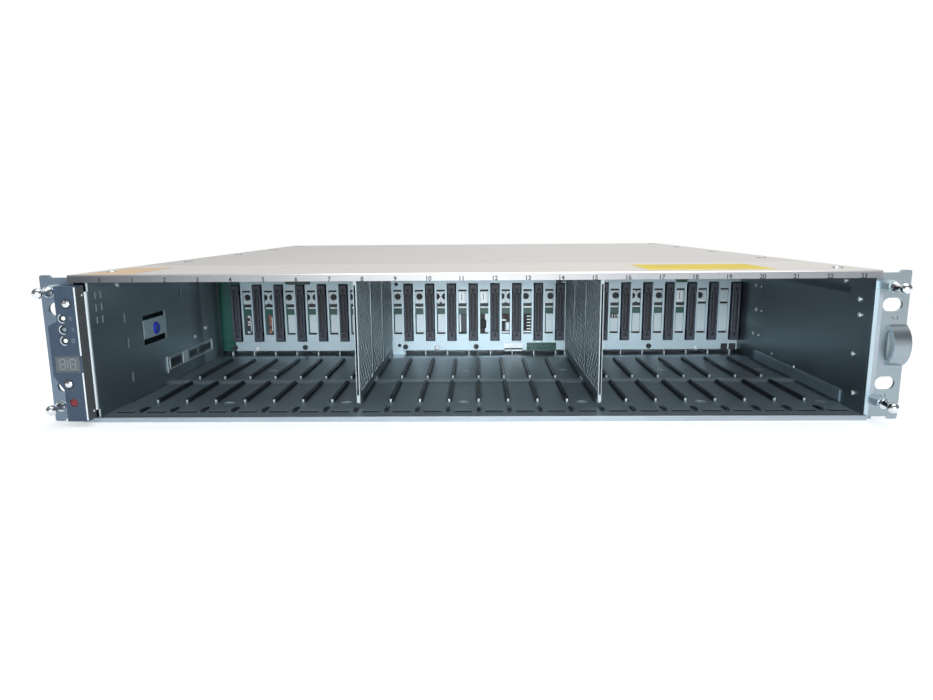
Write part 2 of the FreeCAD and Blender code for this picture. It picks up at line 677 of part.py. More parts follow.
def make_divider(label, group):
    """Perforated divider with a folded front edge and two vertical beads, in a notch of the ribs."""
    place = f"({BAYS_LEFT} + {group} * {GROUP})"
    body = new_body(label, place)
    low = f"({FLOOR_TOP} + rib_height)"
    high = f"({CEILING} - rib_height)"
    left, right = "-divider_sheet / 2", "divider_sheet / 2"
    add(body, "YZ", left, right, draw_box("divider_front", "bay_depth", low, high))
    hem = draw_box("divider_front", "divider_front + hem_width", low, high)
    add(body, "YZ", "-divider_sheet", "divider_sheet", hem)
    field = "((bay_depth - divider_front) / 3)"
    rise = f"({high} - {low})"
    for number in (1, 2):
        middle = f"(divider_front + {number} * {field})"
        bead = [
            ("-divider_sheet / 2", f"{middle} - stiff_width / 2"),
            ("divider_sheet / 2", f"{middle} - stiff_width / 2"),
            ("divider_sheet / 2 + bead_rise", f"{middle} - stiff_crest / 2"),
            ("divider_sheet / 2 + bead_rise", f"{middle} + stiff_crest / 2"),
            ("divider_sheet / 2", f"{middle} + stiff_width / 2"),
            ("-divider_sheet / 2", f"{middle} + stiff_width / 2"),
        ]
        add(body, "XY", f"{low} + stiff_end", f"{high} - stiff_end", draw_outline(bead))
    rows = int(value(f"({rise} - 2 * divider_border) / (2 * hole_pitch * 0.866)"))
    columns = int(value(f"({field} - divider_border) / hole_pitch"))
    for number in range(3):
        start = f"(divider_front + {number} * {field} + divider_border)"
        for shift in (0, 1):
            hole = draw_hexagon(
                f"{start} + {shift} * hole_pitch / 2",
                f"{low} + divider_border + {shift} * hole_pitch * 0.866",
                "hole_flats",
            )
            pierced = cut(body, "YZ", "-divider_sheet * 2", "divider_sheet * 2", hole)
            step = "hole_pitch * 2 * 0.866"
            repeat(body, pierced, "hole_pitch", str(columns), "H_Axis", (step, str(rows), "V_Axis"))


def make_inner_wall():
    """Left wall of the bays, with a bent front edge, the release window and pressed slots."""
    body = new_body("inner_left_wall")
    outer = f"({BAYS_LEFT} - wall)"
    front = "(-flange_face + bend_radius)"
    top = f"{UNDER_COVER}"
    add(body, "XY", "wall", top, draw_box(outer, BAYS_LEFT, front, "stiffener_front"))
    flange = [
        (BAYS_LEFT, front),
        (BAYS_LEFT, "-flange_face"),
        (f"-{INSIDE} + flange_gap", "-flange_face"),
        (f"-{INSIDE} + flange_gap", "-flange_face + wall"),
        (outer, "-flange_face + wall"),
        (outer, front),
    ]
    bent = add(body, "XY", "flange_low", "flange_high", draw_outline(flange))
    corner = value(BAYS_LEFT)
    face = -value("flange_face")
    spot = Vector(corner, face, 0)
    round_edges(body, bent, "bend_radius - 0.2", lambda middle, along: (
        abs(along.z) > 0.9 and Vector(middle.x, middle.y, 0).isEqual(spot, 0.01)))
    window = draw_box("window_start", "window_end", "window_low", "window_high")
    cut(body, "YZ", outer, BAYS_LEFT, window)
    slots = draw_centred("lance_first", "lance_low", "lance_width", "lance_height")
    lance = cut(body, "YZ", outer, BAYS_LEFT, slots)
    repeat(body, lance, "lance_step", "2", "H_Axis", ("lance_rise", "3", "V_Axis"))
    for along, up in WALL_SLOTS:
        cut(body, "YZ", outer, BAYS_LEFT, draw_centred(along, up, "slot_wide", "slot_tall"))


def make_side_guides():
    """Low guide strips at the foot of both bay walls."""
    body = new_body("side_guides")
    for face, side, start, end, low, high in (
        (BAYS_LEFT, 1, "left_guide_start", "left_guide_end", "left_guide_low", "left_guide_high"),
        (BAYS_RIGHT, -1, "right_guide_start", "right_guide_end", f"({FLOOR_TOP} + ridge_height + 0.1)",
         "right_guide_high"),
    ):
        corners = [
            ("0", low), ("guide_bar", f"{low} + guide_bar"),
            ("guide_bar", f"{high} - guide_bar"), ("0", high),
        ]
        points = [(f"{face} + {side} * ({across})", up) for across, up in corners]
        add(body, "XZ", start, end, draw_outline(points))


def make_wall_rivets():
    """Rivet heads on the bay walls."""
    body = new_body("wall_rivets")
    outlines = [draw_disc(along, up, "rivet_radius", 8) for along, up in RIGHT_RIVETS]
    add(body, "YZ", f"{BAYS_RIGHT} - rivet_head", BAYS_RIGHT, draw_all(*outlines))
    outlines = [draw_disc(along, up, "rivet_radius", 8) for along, up in LEFT_RIVETS]
    add(body, "YZ", BAYS_LEFT, f"{BAYS_LEFT} + rivet_head", draw_all(*outlines))


# Release button


def make_release():
    """Blue button in a hole of its leaf; a collar behind the leaf stops it."""
    leaf = new_body("release_leaf")
    back = f"({BAYS_LEFT} - wall)"
    plane = f"({back} + 0.2)"
    start = "(window_start + clearance)"
    outline = [
        (f"{back} - leaf_sheet", "window_start - leaf_tail"),
        (back, "window_start - leaf_tail"),
        (back, start),
        (f"{plane} + leaf_sheet", f"{start} + leaf_sheet"),
        (f"{plane} + leaf_sheet", "window_end - clearance"),
        (plane, "window_end - clearance"),
        (plane, f"{start} + 2 * leaf_sheet"),
        (f"{back} - leaf_sheet", f"{start} + leaf_sheet"),
    ]
    add(leaf, "XY", "leaf_low", "leaf_high", draw_outline(outline))
    cut(leaf, "YZ", f"{back} - leaf_sheet", f"{back} + 2 * leaf_sheet",
        draw_circle("release_place", "release_height", "release_radius + clearance"))
    button = new_body("blue_release_button", back, "release_place", "release_height")
    outline = [
        ("0", "-collar_depth"),
        ("release_radius + collar_rim", "-collar_depth"),
        ("release_radius + collar_rim", "0"),
        ("release_radius", "0"),
        ("release_radius", "wall + release_rise - release_chamfer"),
        ("release_radius - release_chamfer", "wall + release_rise"),
        ("0", "wall + release_rise"),
    ]
    revolve(button, "XZ", draw_outline([(up, across) for across, up in outline]), "H_Axis")


# Midplane


def make_midplane():
    """Zinc plate with connector and air windows, and the board behind it."""
    connector = f"({bay_middle('0')} + connector_shift)"
    vent = f"({connector} + bay_pitch / 2)"
    between = "bay_count - 1"
    plate = new_body("midplane_stiffener")
    rear = "(stiffener_front + stiffener_sheet)"
    add(plate, "XZ", "stiffener_front", rear,
        draw_box("plate_left", f"{INSIDE} - clearance", "wall", "board_high"))
    second = f"({connector} + bay_pitch)"
    half = "(connector_width / 2 + opening_gap)"
    opening = draw_box(f"{second} - {half}", f"{second} + {half}",
                       "connector_low - 1.5 * opening_gap", "connector_high + 1.5 * opening_gap")
    hole = cut(plate, "XZ", "stiffener_front", rear, opening)
    repeat(plate, hole, "bay_pitch", between)
    edge_notch = draw_box("plate_left", f"{connector} + {half}",
                          "connector_low - 1.5 * opening_gap", "board_high")
    cut(plate, "XZ", "stiffener_front", rear, edge_notch)
    window = draw_box(f"{vent} - vent_width / 2", f"{vent} + vent_width / 2", "vent_low", "vent_high")
    hole = cut(plate, "XZ", "stiffener_front", rear, window)
    repeat(plate, hole, "bay_pitch", between)
    for group in range(3):
        start = f"({BAYS_LEFT} + {group} * {GROUP} + plate_foot)"
        notch = draw_box(start, f"{start} + {GROUP} - plate_foot", "wall", f"{FLOOR_TOP} + gap_under_plate")
        cut(plate, "XZ", "stiffener_front", rear, notch)
    board = new_body("midplane_board")
    add(board, "XZ", BOARD_FRONT, BOARD_REAR,
        draw_box(f"-{INSIDE} + clearance", f"{INSIDE} - clearance", "board_low", "board_high"))
    air = draw_centred(vent, "(vent_low + vent_high) / 2 + air_shift", "air_width", "air_height")
    hole = cut(board, "XZ", BOARD_FRONT, BOARD_REAR, air)
    repeat(board, hole, "bay_pitch", between)


def make_drive_connectors():
    """One upright blade connector for each bay, in three rows."""
    for group, label in enumerate(("left", "middle", "right")):
        body = new_body(f"drive_connectors_{label}")
        middle = f"({bay_middle(f'{group} * group_bays')} + connector_shift)"
        front = "(stiffener_front - connector_reach)"
        half = "connector_width / 2"
        core = add(body, "XZ", f"{front} + socket_setback", BOARD_FRONT,
                   draw_box(f"{middle} - socket_width / 2", f"{middle} + socket_width / 2",
                            "connector_low", "connector_high"))
        left, right = f"{middle} - {half}", f"{middle} + {half}"
        ends = add(body, "XZ", front, BOARD_FRONT, draw_all(
            draw_box(left, right, "connector_low", "connector_low + end_block"),
            draw_box(left, right, "connector_high - end_block", "connector_high"),
        ))
        slot = cut(body, "XZ", front, f"{BOARD_FRONT} - socket_floor", draw_box(
            f"{middle} - blade_width / 2", f"{middle} + blade_width / 2",
            "connector_low + end_block + mouth_margin", "connector_high - end_block - mouth_margin"))
        row = body.newObject("PartDesign::LinearPattern", f"{body.Name}_row")
        row.Originals = [core, ends, slot]
        row.Direction = (core.Profile[0], ["H_Axis"])
        row.Mode = "Spacing"
        row.setExpression("Offset", bound("bay_pitch"))
        row.setExpression("Occurrences", bound("group_bays"))
        body.Tip = row


def make_module_plugs():
    """Connectors on the rear of the midplane that the rear modules plug into."""
    body = new_body("module_connectors")
    supply = f"({INSIDE} - clearance - supply_width / 2)"
    outlines = []
    for place in (f"-{supply}", supply):
        outlines.append(draw_centred(place, "body_height / 2", "40", "module_plug_height / 2"))
    for place in ("shelf_height / 2", "shelf_height * 1.5 + wall"):
        outlines.append(draw_centred("0", place, "60", "module_plug_height / 2"))
    add(body, "XZ", BOARD_REAR, f"{BOARD_REAR} + module_plug_depth", draw_all(*outlines))


def make_midplane_screws():
    """Pan-head screws along the foot of the zinc plate."""
    body = new_body("midplane_screws")
    for start in PLATE_SCREWS:
        head = add(body, "XZ", "stiffener_front - screw_head", "stiffener_front",
                   draw_disc(f"{BAYS_LEFT} + {start}", "plate_screw_height", "screw_radius"))
        repeat(body, head, GROUP, "3")


# Rack ears and studs


def make_ear(label, side):
    """Rack ear: stepped plate with two slots and a leg along the side wall; side is 1 or -1."""
    body = new_body(label)
    inner = INSIDE
    outer = "(rack_width / 2)"
    foot = "0"
    corners = [
        (inner, foot),
        (f"{inner} + inner_tab", foot),
        (f"{inner} + inner_tab", "ear_step"),
        (f"{outer} - tab_width", "ear_step"),
        (f"{outer} - tab_width", foot),
        (outer, foot),
        (outer, "ear_height"),
        (f"{outer} - tab_width", "ear_height"),
        (f"{outer} - tab_width - ear_slope", "ear_height - ear_step"),
        (inner, "ear_height - ear_step"),
    ]
    plate = add(body, "XZ", EAR_FRONT, "0", draw_outline([(f"{side} * ({x})", z) for x, z in corners]))
    edge = value(outer)
    rounded = round_edges(body, plate, "ear_corner",
                          lambda middle, along: abs(along.y) > 0.9 and abs(abs(middle.x) - edge) < 0.01)
    body.Tip = rounded
    ends = sorted([f"{side} * {SIDE}", f"{side} * ({SIDE} + ear_sheet)"], key=value)
    add(body, "YZ", ends[0], ends[1], draw_box("0", "ear_leg", "leg_margin", "ear_height - leg_margin"))
    middle = f"{side} * slot_spacing / 2"
    for turn in (-1, 1):
        slot = draw_slot(middle, f"slot_middle + {turn} * slot_rise / 2", "slot_length", "slot_width")
        cut(body, "XZ", EAR_FRONT, "0", slot)
    return body


def make_finger_loop(body):
    """Part of the right ear pushed forward as an arch that a finger goes behind."""
    outer = "(rack_width / 2)"
    inner = f"({outer} - loop_width)"
    hollow = draw_box(inner, f"{outer} + 1", "loop_low + ear_sheet", "loop_high - ear_sheet")
    cut(body, "XZ", EAR_FRONT, "0", hollow)
    add(body, "YZ", inner, outer, draw_arch)


def draw_arch(plan):
    """A band between two arcs, from the bottom of the loop to its top."""
    arcs = []
    for depth, low, high in (
        (EAR_FRONT, "loop_low", "loop_high"),
        ("0", "loop_low + ear_sheet", "loop_high - ear_sheet"),
    ):
        chord = f"({high} - ({low}))"
        radius = f"({chord} * {chord} / (8 * loop_rise) + loop_rise / 2)"
        start = Vector(value(depth), value(low), 0)
        end = Vector(value(depth), value(high), 0)
        crown = Vector(value(f"{depth} - loop_rise"), value(f"({low} + {high}) / 2"), 0)
        arc = plan.addGeometry(Part.Arc(start, crown, end))
        first, last = (1, 2) if plan.getPoint(arc, 1).isEqual(start, 0.001) else (2, 1)
        pin_point(plan, arc, first, depth, low)
        pin_point(plan, arc, last, depth, high)
        number = plan.addConstraint(Sketcher.Constraint("Radius", arc, value(radius)))
        plan.setExpression(f"Constraints[{number}]", bound(radius))
        arcs.append((arc, first, last, start, end))
    (front, front_low, front_high, low_spot, high_spot), (back, back_low, back_high, low_end, high_end) = arcs
    foot = plan.addGeometry(Part.LineSegment(low_spot, low_end))
    head = plan.addGeometry(Part.LineSegment(high_spot, high_end))
    for line, here, there in ((foot, front_low, back_low), (head, front_high, back_high)):
        plan.addConstraint(Sketcher.Constraint("Coincident", line, 1, front, here))
        plan.addConstraint(Sketcher.Constraint("Coincident", line, 2, back, there))


def make_studs():
    """Hexagonal standoffs on the ears and the turned ball studs that hold a front bezel."""
    spread = "stud_right + stud_left"
    standoff = new_body("ear_standoffs", "-stud_left", EAR_FRONT, "stud_low")
    nut = add(standoff, "XZ", "-standoff_length", "0", draw_hexagon("0", "0", "2 * standoff_radius"))
    repeat(standoff, nut, spread, "2", "H_Axis", ("stud_rise", "2", "V_Axis"))
    stud = new_body("ball_studs", "-stud_left", EAR_FRONT, "stud_low")
    turned = revolve(stud, "XY", draw_stud)
    repeat(stud, turned, spread, "2", "H_Axis", ("stud_rise", "2", "N_Axis"))


def draw_stud(plan):
    """Half section of a stud: flange, cone, neck and ball, on the sketch's upright axis."""
    base = "-standoff_length"
    reach = "(sqrt(ball_radius * ball_radius - neck_radius * neck_radius))"
    joint = f"(-ball_reach + {reach})"
    spots = [
        ("0", base),
        ("standoff_radius", base),
        ("standoff_radius", f"{base} - stud_flange"),
        ("neck_radius", f"{base} - stud_cone"),
        ("neck_radius", joint),
    ]
    points = [Vector(value(across), value(up), 0) for across, up in spots]
    for start, end in zip(points, points[1:]):
        plan.addGeometry(Part.LineSegment(start, end))
    for number in range(1, 4):
        plan.addConstraint(Sketcher.Constraint("Coincident", number - 1, 2, number, 1))
    for number in range(4):
        pin_point(plan, number, 1, *spots[number])
    pin_point(plan, 3, 2, *spots[4])
    tip = Vector(0, value("-ball_reach - ball_radius"), 0)
    side = Vector(value("ball_radius"), value("-ball_reach"), 0)
    arc = plan.addGeometry(Part.Arc(points[-1], side, tip))
    near, far = (1, 2) if plan.getPoint(arc, 1).isEqual(points[-1], 0.001) else (2, 1)
    plan.addConstraint(Sketcher.Constraint("Coincident", 3, 2, arc, near))
    pin_point(plan, arc, far, "0", "-ball_reach - ball_radius")
    number = plan.addConstraint(Sketcher.Constraint("Radius", arc, value("ball_radius")))
    plan.setExpression(f"Constraints[{number}]", bound("ball_radius"))
    axis = plan.addGeometry(Part.LineSegment(tip, points[0]))
    plan.addConstraint(Sketcher.Constraint("Coincident", axis, 1, arc, far))
    plan.addConstraint(Sketcher.Constraint("Coincident", axis, 2, 0, 1))


# Operator panel


def panel_outline(inset="0", right=None):
    """Front outline of the panel's moulding, drawn in from its edge by the inset."""
    left = f"(-panel_left + {inset})"
    bulge = f"(-panel_bulge + {inset})"
    edge = right or f"(-panel_right - {inset})"
    return [
        (edge, f"panel_low + {inset}"),
        (edge, f"panel_high - {inset}"),
        (left, f"panel_high - {inset}"),
        (left, f"bulge_high + bulge_upper - {inset} / 2"),
        (bulge, f"bulge_high - {inset} / 2"),
        (bulge, f"bulge_low + {inset} / 2"),
        (left, f"bulge_low - bulge_lower + {inset} / 2"),
        (left, f"panel_low + {inset}"),
    ]


def make_panel():
    """Moulded housing with windows for its lights, display and button, open at the back."""
    body = new_body("ops_panel_housing")
    back = "(-flange_face)"
    add(body, "XZ", PANEL_FACE, back, draw_outline(panel_outline()))
    add(body, "XZ", back, EAR_FRONT, draw_outline(panel_outline("0", f"(-{INSIDE} + 0.4)")))
    cut(body, "XZ", f"{PANEL_FACE} + panel_wall", EAR_FRONT, draw_outline(panel_outline("panel_wall")))
    inner = f"{PANEL_FACE} + panel_wall"
    bore = draw_disc(f"-{LIGHTS}", "light_low", "light_radius + light_gap")
    lights = cut(body, "XZ", PANEL_FACE, inner, bore)
    repeat(body, lights, "light_pitch", "3", "V_Axis")
    display = draw_box("-display_left", "-display_right", "display_low", "display_high")
    cut(body, "XZ", PANEL_FACE, inner, display)
    key = draw_circle(f"-{KEY}", "key_height", "key_radius + clearance")
    cut(body, "XZ", PANEL_FACE, inner, key)
    for across, up in PANEL_SCREWS:
        cut(body, "XZ", PANEL_FACE, f"{PANEL_FACE} + screw_head + screw_sink",
            draw_disc(across, up, "screw_radius + 0.4"))


def make_panel_parts():
    """Everything that the housing holds: board, lights, display, window, button, screws, ribbon."""
    inner = f"({PANEL_FACE} + panel_wall)"
    board = new_body("ops_panel_board")
    outline = panel_outline("(panel_wall + 0.4)")
    add(board, "XZ", PANEL_BOARD_FRONT, f"{PANEL_BOARD_FRONT} + panel_board", draw_outline(outline))
    pipes = new_body("light_pipes")
    pipe = add(pipes, "XZ", f"{PANEL_FACE} + 0.3", PANEL_BOARD_FRONT,
               draw_disc(f"-{LIGHTS}", "light_low", "light_radius"))
    repeat(pipes, pipe, "light_pitch", "3", "V_Axis")
    display = new_body("display_module")
    add(display, "XZ", f"{inner} + 0.1", PANEL_BOARD_FRONT,
        draw_box("-display_left + 0.4", "-display_right - 0.2", "display_low", "display_high"))
    window = new_body("display_window")
    add(window, "XZ", f"{PANEL_FACE} + 0.2", inner,
        draw_box("-display_left + 0.1", "-display_right - 0.1", "display_low + 0.1", "display_high - 0.1"))
    key = new_body("shelf_id_button", f"-{KEY}", inner, "key_height")
    profile = [
        ("0", "0.2 - panel_wall"),
        ("key_radius", "0.2 - panel_wall"),
        ("key_radius", "clearance"),
        ("key_radius + key_flange", "clearance"),
        ("key_radius + key_flange", "0.8"),
        ("0", "0.8"),
    ]
    revolve(key, "XY", draw_outline(profile))
    screws = new_body("ops_panel_screws")
    outlines = [draw_disc(across, up, "screw_radius") for across, up in PANEL_SCREWS]
    top = f"{PANEL_FACE} + screw_sink"
    add(screws, "XZ", top, f"{top} + screw_head", draw_all(*outlines))
    ribbon = new_body("ops_panel_ribbon")
    add(ribbon, "XY", "ribbon_low", "ribbon_low + ribbon_width",
        draw_box(f"-{INSIDE} + clearance", f"-{INSIDE} + clearance + ribbon_sheet",
                 f"{PANEL_BOARD_FRONT} + panel_board", BOARD_FRONT))


# Rear modules


def make_bay_frame():
    """Two walls between the supplies and the I/O modules, and the shelf between those modules."""
    body = new_body("rear_bay_frame")
    low, high = "wall", UNDER_COVER
    outer = f"({FRAME_WALL} + wall)"
    shelf_top = "(shelf_height + wall)"
    corners = [
        (f"-{outer}", low), (f"-{FRAME_WALL}", low), (f"-{FRAME_WALL}", "shelf_height"),
        (FRAME_WALL, "shelf_height"), (FRAME_WALL, low), (outer, low),
        (outer, high), (FRAME_WALL, high), (FRAME_WALL, shelf_top),
        (f"-{FRAME_WALL}", shelf_top), (f"-{FRAME_WALL}", high), (f"-{outer}", high),
    ]
    add(body, "XZ", MODULE_FRONT, REAR, draw_outline(corners))


def make_supply(side_name, side):
    """One power supply: case, fans, inlet, switch, edge card and cam handle."""
    middle = f"{side} * ({INSIDE} - clearance - supply_width / 2)"
    low = "(wall + clearance)"
    high = f"({UNDER_COVER} - clearance)"
    half = "(supply_width / 2)"
    label = f"supply_{side_name}"
    case = new_body(f"{label}_case", middle)
    add(case, "XZ", MODULE_FRONT, MODULE_REAR, draw_box(f"-{half}", half, low, high))
    cut(case, "XZ", f"{MODULE_FRONT} + supply_case", f"{MODULE_REAR} - supply_case",
        draw_box(f"-{half} + supply_case", f"{half} - supply_case",
                 f"{low} + supply_case", f"{high} - supply_case"))
    cut(case, "XZ", MODULE_FRONT, f"{MODULE_FRONT} + supply_case",
        draw_centred("0", "body_height / 2", "supply_plug_window", "module_plug_height / 2 + 4"))
    for shift in (-1, 1):
        bore = draw_disc(f"fan_centre + {shift} * fan_shift", "fan_height", "fan_radius", 20)
        cut(case, "XZ", f"{MODULE_REAR} - supply_case", MODULE_REAR, bore)
    cut(case, "XZ", f"{MODULE_REAR} - supply_case", MODULE_REAR, draw_all(
        draw_centred("inlet_place", "inlet_low + inlet_height / 2", "inlet_width", "inlet_height"),
        draw_centred("rocker_place", "inlet_low + inlet_height / 2",
                     "rocker_width + switch_rim + 0.2", "rocker_height + switch_rim + 1.2")))
    frames = new_body(f"{label}_fan_frames", middle)
    start = f"({MODULE_REAR} - supply_case - fan_depth)"
    for shift in (-1, 1):
        place = f"fan_centre + {shift} * fan_shift"
        add(frames, "XZ", start, f"{MODULE_REAR} - supply_case", draw_all(
            draw_centred(place, "fan_height", "fan_frame", "fan_frame"),
            draw_disc(place, "fan_height", "fan_radius", 20)))
        spokes = draw_centred(place, "fan_height", "fan_radius * 2 + 1", "spoke_width")
        add(frames, "XZ", start, f"{start} + spoke_sheet", spokes)
        add(frames, "XZ", start, f"{start} + fan_seat", draw_disc(place, "fan_height", "hub_radius - 1"))
        shaft = draw_circle(place, "fan_height", "shaft_radius")
        add(frames, "XZ", start, f"{start} + fan_depth - fan_seat", shaft)
    for number, shift in enumerate((-1, 1), start=1):
        make_rotor(f"{label}_rotor_{number}", f"{middle} + fan_centre + {shift} * fan_shift",
                   f"{start} + fan_seat + clearance")
    inlet = new_body(f"{label}_inlet", middle)
    sill = "inlet_low + inlet_height / 2"
    add(inlet, "XZ", f"{MODULE_REAR} - inlet_depth", MODULE_REAR,
        draw_centred("inlet_place", sill, "inlet_width", "inlet_height"))
    cut(inlet, "XZ", f"{MODULE_REAR} - inlet_depth + 2", MODULE_REAR,
        draw_centred("inlet_place", sill, "inlet_width - 3", "inlet_height - 4"))
    add(inlet, "XZ", f"{MODULE_REAR} - inlet_depth + 1", f"{MODULE_REAR} - pin_setback", draw_all(
        *[draw_centred(f"inlet_place + {step} * inlet_pin_step", f"{sill} + {rise}", "2", "4")
          for step, rise in ((-1, "-1.5"), (0, "2"), (1, "-1.5"))]))
    add(inlet, "XZ", f"{MODULE_REAR} - switch_depth", f"{MODULE_REAR} + 1", draw_all(
        draw_centred("rocker_place", sill, "rocker_width + switch_rim", "rocker_height + switch_rim + 1"),
        draw_centred("rocker_place", sill, "rocker_width + 2 * clearance", "rocker_height + 5 * clearance")))
    trunnion = "(rocker_width / 2 + clearance + trunnion_reach)"
    seat = f"{trunnion} + clearance"
    cut(inlet, "YZ", f"rocker_place - ({seat})", f"rocker_place + {seat}",
        draw_circle(f"{MODULE_REAR} - rocker_depth", sill, "trunnion_radius + running_fit"))
    rocker = new_body(f"{label}_rocker", f"{middle} + rocker_place", f"{MODULE_REAR} - rocker_depth", sill)
    reach = "rocker_height / 2"
    shape = [
        ("-6", "-2.5"), ("-6", "2.5"), ("0", reach), ("2.2", reach), ("1.2", "0"), ("3.6", f"-{reach}"),
        ("0", f"-{reach}"),
    ]
    add(rocker, "YZ", "-rocker_width / 2", "rocker_width / 2", draw_outline(shape))
    add(rocker, "YZ", f"-{trunnion}", trunnion, draw_circle("0", "0", "trunnion_radius"))
    card = new_body(f"{label}_board", middle)
    add(card, "XY", f"{low} + supply_case", f"{low} + supply_case + card_sheet",
        draw_box(f"-{half} + 4", f"{half} - 4", f"{MODULE_FRONT} + 4", f"{MODULE_REAR} - 30"))
    hold_lever(case, f"{half} - lever_inset", f"{high} - lever_drop")
    make_lever(f"{label}_lever", f"{middle} + {half} - lever_inset", f"{high} - lever_drop", "supply_lever")


def make_rotor(label, across, along):
    """Fan rotor: hub with pitched blades, turning on its frame's shaft."""
    body = new_body(label, across, along, "fan_height")
    depth = "(fan_depth - 4 - clearance)"
    bore = draw_circle("0", "0", "shaft_radius + running_fit")
    ring = draw_all(draw_disc("0", "0", "hub_radius", 14), bore)
    add(body, "XZ", "0", depth, ring)
    near, far = "blade_margin", f"{depth} - blade_margin"
    blade = [
        (near, "-blade_pitch"), (f"{near} + blade_sheet", "-blade_pitch"),
        (far, "blade_pitch - blade_sheet"), (far, "blade_pitch"),
    ]
    fin = add(body, "YZ", "hub_radius - 0.8", "fan_radius - tip_gap", draw_outline(blade))
    fan = body.newObject("PartDesign::PolarPattern", f"{body.Name}_blades")
    fan.Originals = [fin]
    fan.Axis = (next(item for item in body.Origin.OriginFeatures if item.Role == "Y_Axis"), [""])
    fan.Angle = 360
    fan.setExpression("Occurrences", bound("blade_count"))
    body.Tip = fan


def hold_lever(case, across, up):
    """Two ears and a pin on a module's rear face, round the head of its cam lever."""
    for turn in (-1, 1):
        inner = f"({across} + {turn} * (lever_width / 2 + clearance))"
        outer = f"({across} + {turn} * (lever_width / 2 + clearance + supply_case))"
        low, high = (inner, outer) if turn > 0 else (outer, inner)
        ear = [
            (MODULE_REAR, f"{up} - cheek_foot"),
            (f"{MODULE_REAR} + pivot_reach + cheek_wall", f"{up} - cheek_tip"),
            (f"{MODULE_REAR} + pivot_reach + cheek_wall", f"{up} + cheek_tip"),
            (MODULE_REAR, f"{up} + cheek_foot"),
        ]
        add(case, "YZ", low, high, draw_outline(ear))
    half = "(lever_width / 2 + clearance)"
    add(case, "YZ", f"{across} - {half}", f"{across} + {half}",
        draw_circle(f"{MODULE_REAR} + pivot_reach", up, "pin_radius"))


def make_lever(label, across, up, length):
    """Cam lever: a round head on its pin, a flat bar and a turned-out grip."""
    body = new_body(label, across, f"{MODULE_REAR} + pivot_reach", up)
    back = "(clearance - pivot_reach)"
    bar = [
        (f"{back}", "0"),
        ("0", "0"),
        (f"{back} + lever_sheet", "-4"),
        (f"{back} + lever_sheet", f"12 - {length}"),
        (f"{back} + lever_reach", f"5 - {length}"),
        (f"{back} + lever_reach", f"-{length}"),
        (f"{back} + lever_reach - lever_sheet", f"-{length}"),
        (f"{back} + lever_reach - lever_sheet", f"4 - {length}"),
        (back, f"11 - {length}"),
    ]
    add(body, "YZ", "-lever_width / 2", "lever_width / 2", draw_outline(bar))
    add(body, "YZ", "-lever_width / 2", "lever_width / 2", draw_circle("0", "0", "pivot_reach - clearance"))
    cut(body, "YZ", "-lever_width / 2", "lever_width / 2", draw_circle("0", "0", "pin_radius + running_fit"))


def make_module(level_name, low):
    """One I/O module: case, board, two disk port cages, network jack block and cam lever."""
    label = f"module_{level_name}"
    half = f"({FRAME_WALL} - clearance)"
    rise = f"(shelf_height - wall - 2 * clearance)"
    case = new_body(f"{label}_case", "0", "0", f"{low} + clearance")
    add(case, "XZ", MODULE_FRONT, MODULE_REAR, draw_box(f"-{half}", half, "0", rise))
    cut(case, "XZ", f"{MODULE_FRONT} + supply_case", f"{MODULE_REAR} - supply_case",
        draw_box(f"-{half} + supply_case", f"{half} - supply_case", "supply_case", f"{rise} - supply_case"))
    cut(case, "XZ", MODULE_FRONT, f"{MODULE_FRONT} + supply_case",
        draw_centred("0", f"{rise} / 2", "module_plug_window", "module_plug_height / 2 + 4"))
    deck = "(supply_case + deck_height)"
    ports = ["first_port", "(first_port + port_step)"]
    jack = "jack_place"
    middle = f"{deck} + card_sheet + port_height / 2"
    openings = [draw_centred(place, middle, "port_width + 0.6", "port_height + 0.6")
                for place in ports]
    sill = f"{deck} + card_sheet + jack_height / 2"
    openings.append(draw_centred(jack, sill, "jack_width * 2 + 0.6", "jack_height + 0.6"))
    cut(case, "XZ", f"{MODULE_REAR} - supply_case", MODULE_REAR, draw_all(*openings))
    vent = cut(case, "XZ", f"{MODULE_REAR} - supply_case", MODULE_REAR,
               draw_centred(f"-{half} + module_vent_first", f"{rise} - module_vent_drop",
                            "module_vent_width", "module_vent_height"))
    repeat(case, vent, "module_vent_pitch", "module_vent_count", "H_Axis")
    board = new_body(f"{label}_board", "0", "0", f"{low} + clearance")
    add(board, "XY", deck, f"{deck} + card_sheet",
        draw_box(f"-{half} + 4", f"{half} - 4", f"{MODULE_FRONT} + 2", f"{MODULE_REAR} - 2"))
    cages = new_body(f"{label}_disk_ports", "0", "0", f"{low} + clearance")
    for place in ports:
        centre = f"{deck} + card_sheet + port_height / 2"
        add(cages, "XZ", f"{MODULE_REAR} - port_depth", f"{MODULE_REAR} + 0.5", draw_all(
            draw_centred(place, centre, "port_width", "port_height"),
            draw_centred(place, centre, "port_width - 2 * port_sheet", "port_height - 2 * port_sheet")))
    jacks = new_body(f"{label}_network_jacks", "0", "0", f"{low} + clearance")
    centre = f"{deck} + card_sheet + jack_height / 2"
    add(jacks, "XZ", f"{MODULE_REAR} - jack_depth", f"{MODULE_REAR} + 0.5",
        draw_centred(jack, centre, "jack_width * 2", "jack_height"))
    cut(jacks, "XZ", f"{MODULE_REAR} - jack_depth + 2", f"{MODULE_REAR} + 0.5", draw_all(
        draw_centred(f"{jack} - jack_width / 2", centre, "jack_width - 4", "jack_height - 5"),
        draw_centred(f"{jack} + jack_width / 2", centre, "jack_width - 4", "jack_height - 5")))
    hold_lever(case, f"{half} - lever_inset", f"{rise} - lever_drop")
    pivot = f"{low} + clearance + {rise} - lever_drop"
    make_lever(f"{label}_lever", f"{half} - lever_inset", pivot, "module_lever")


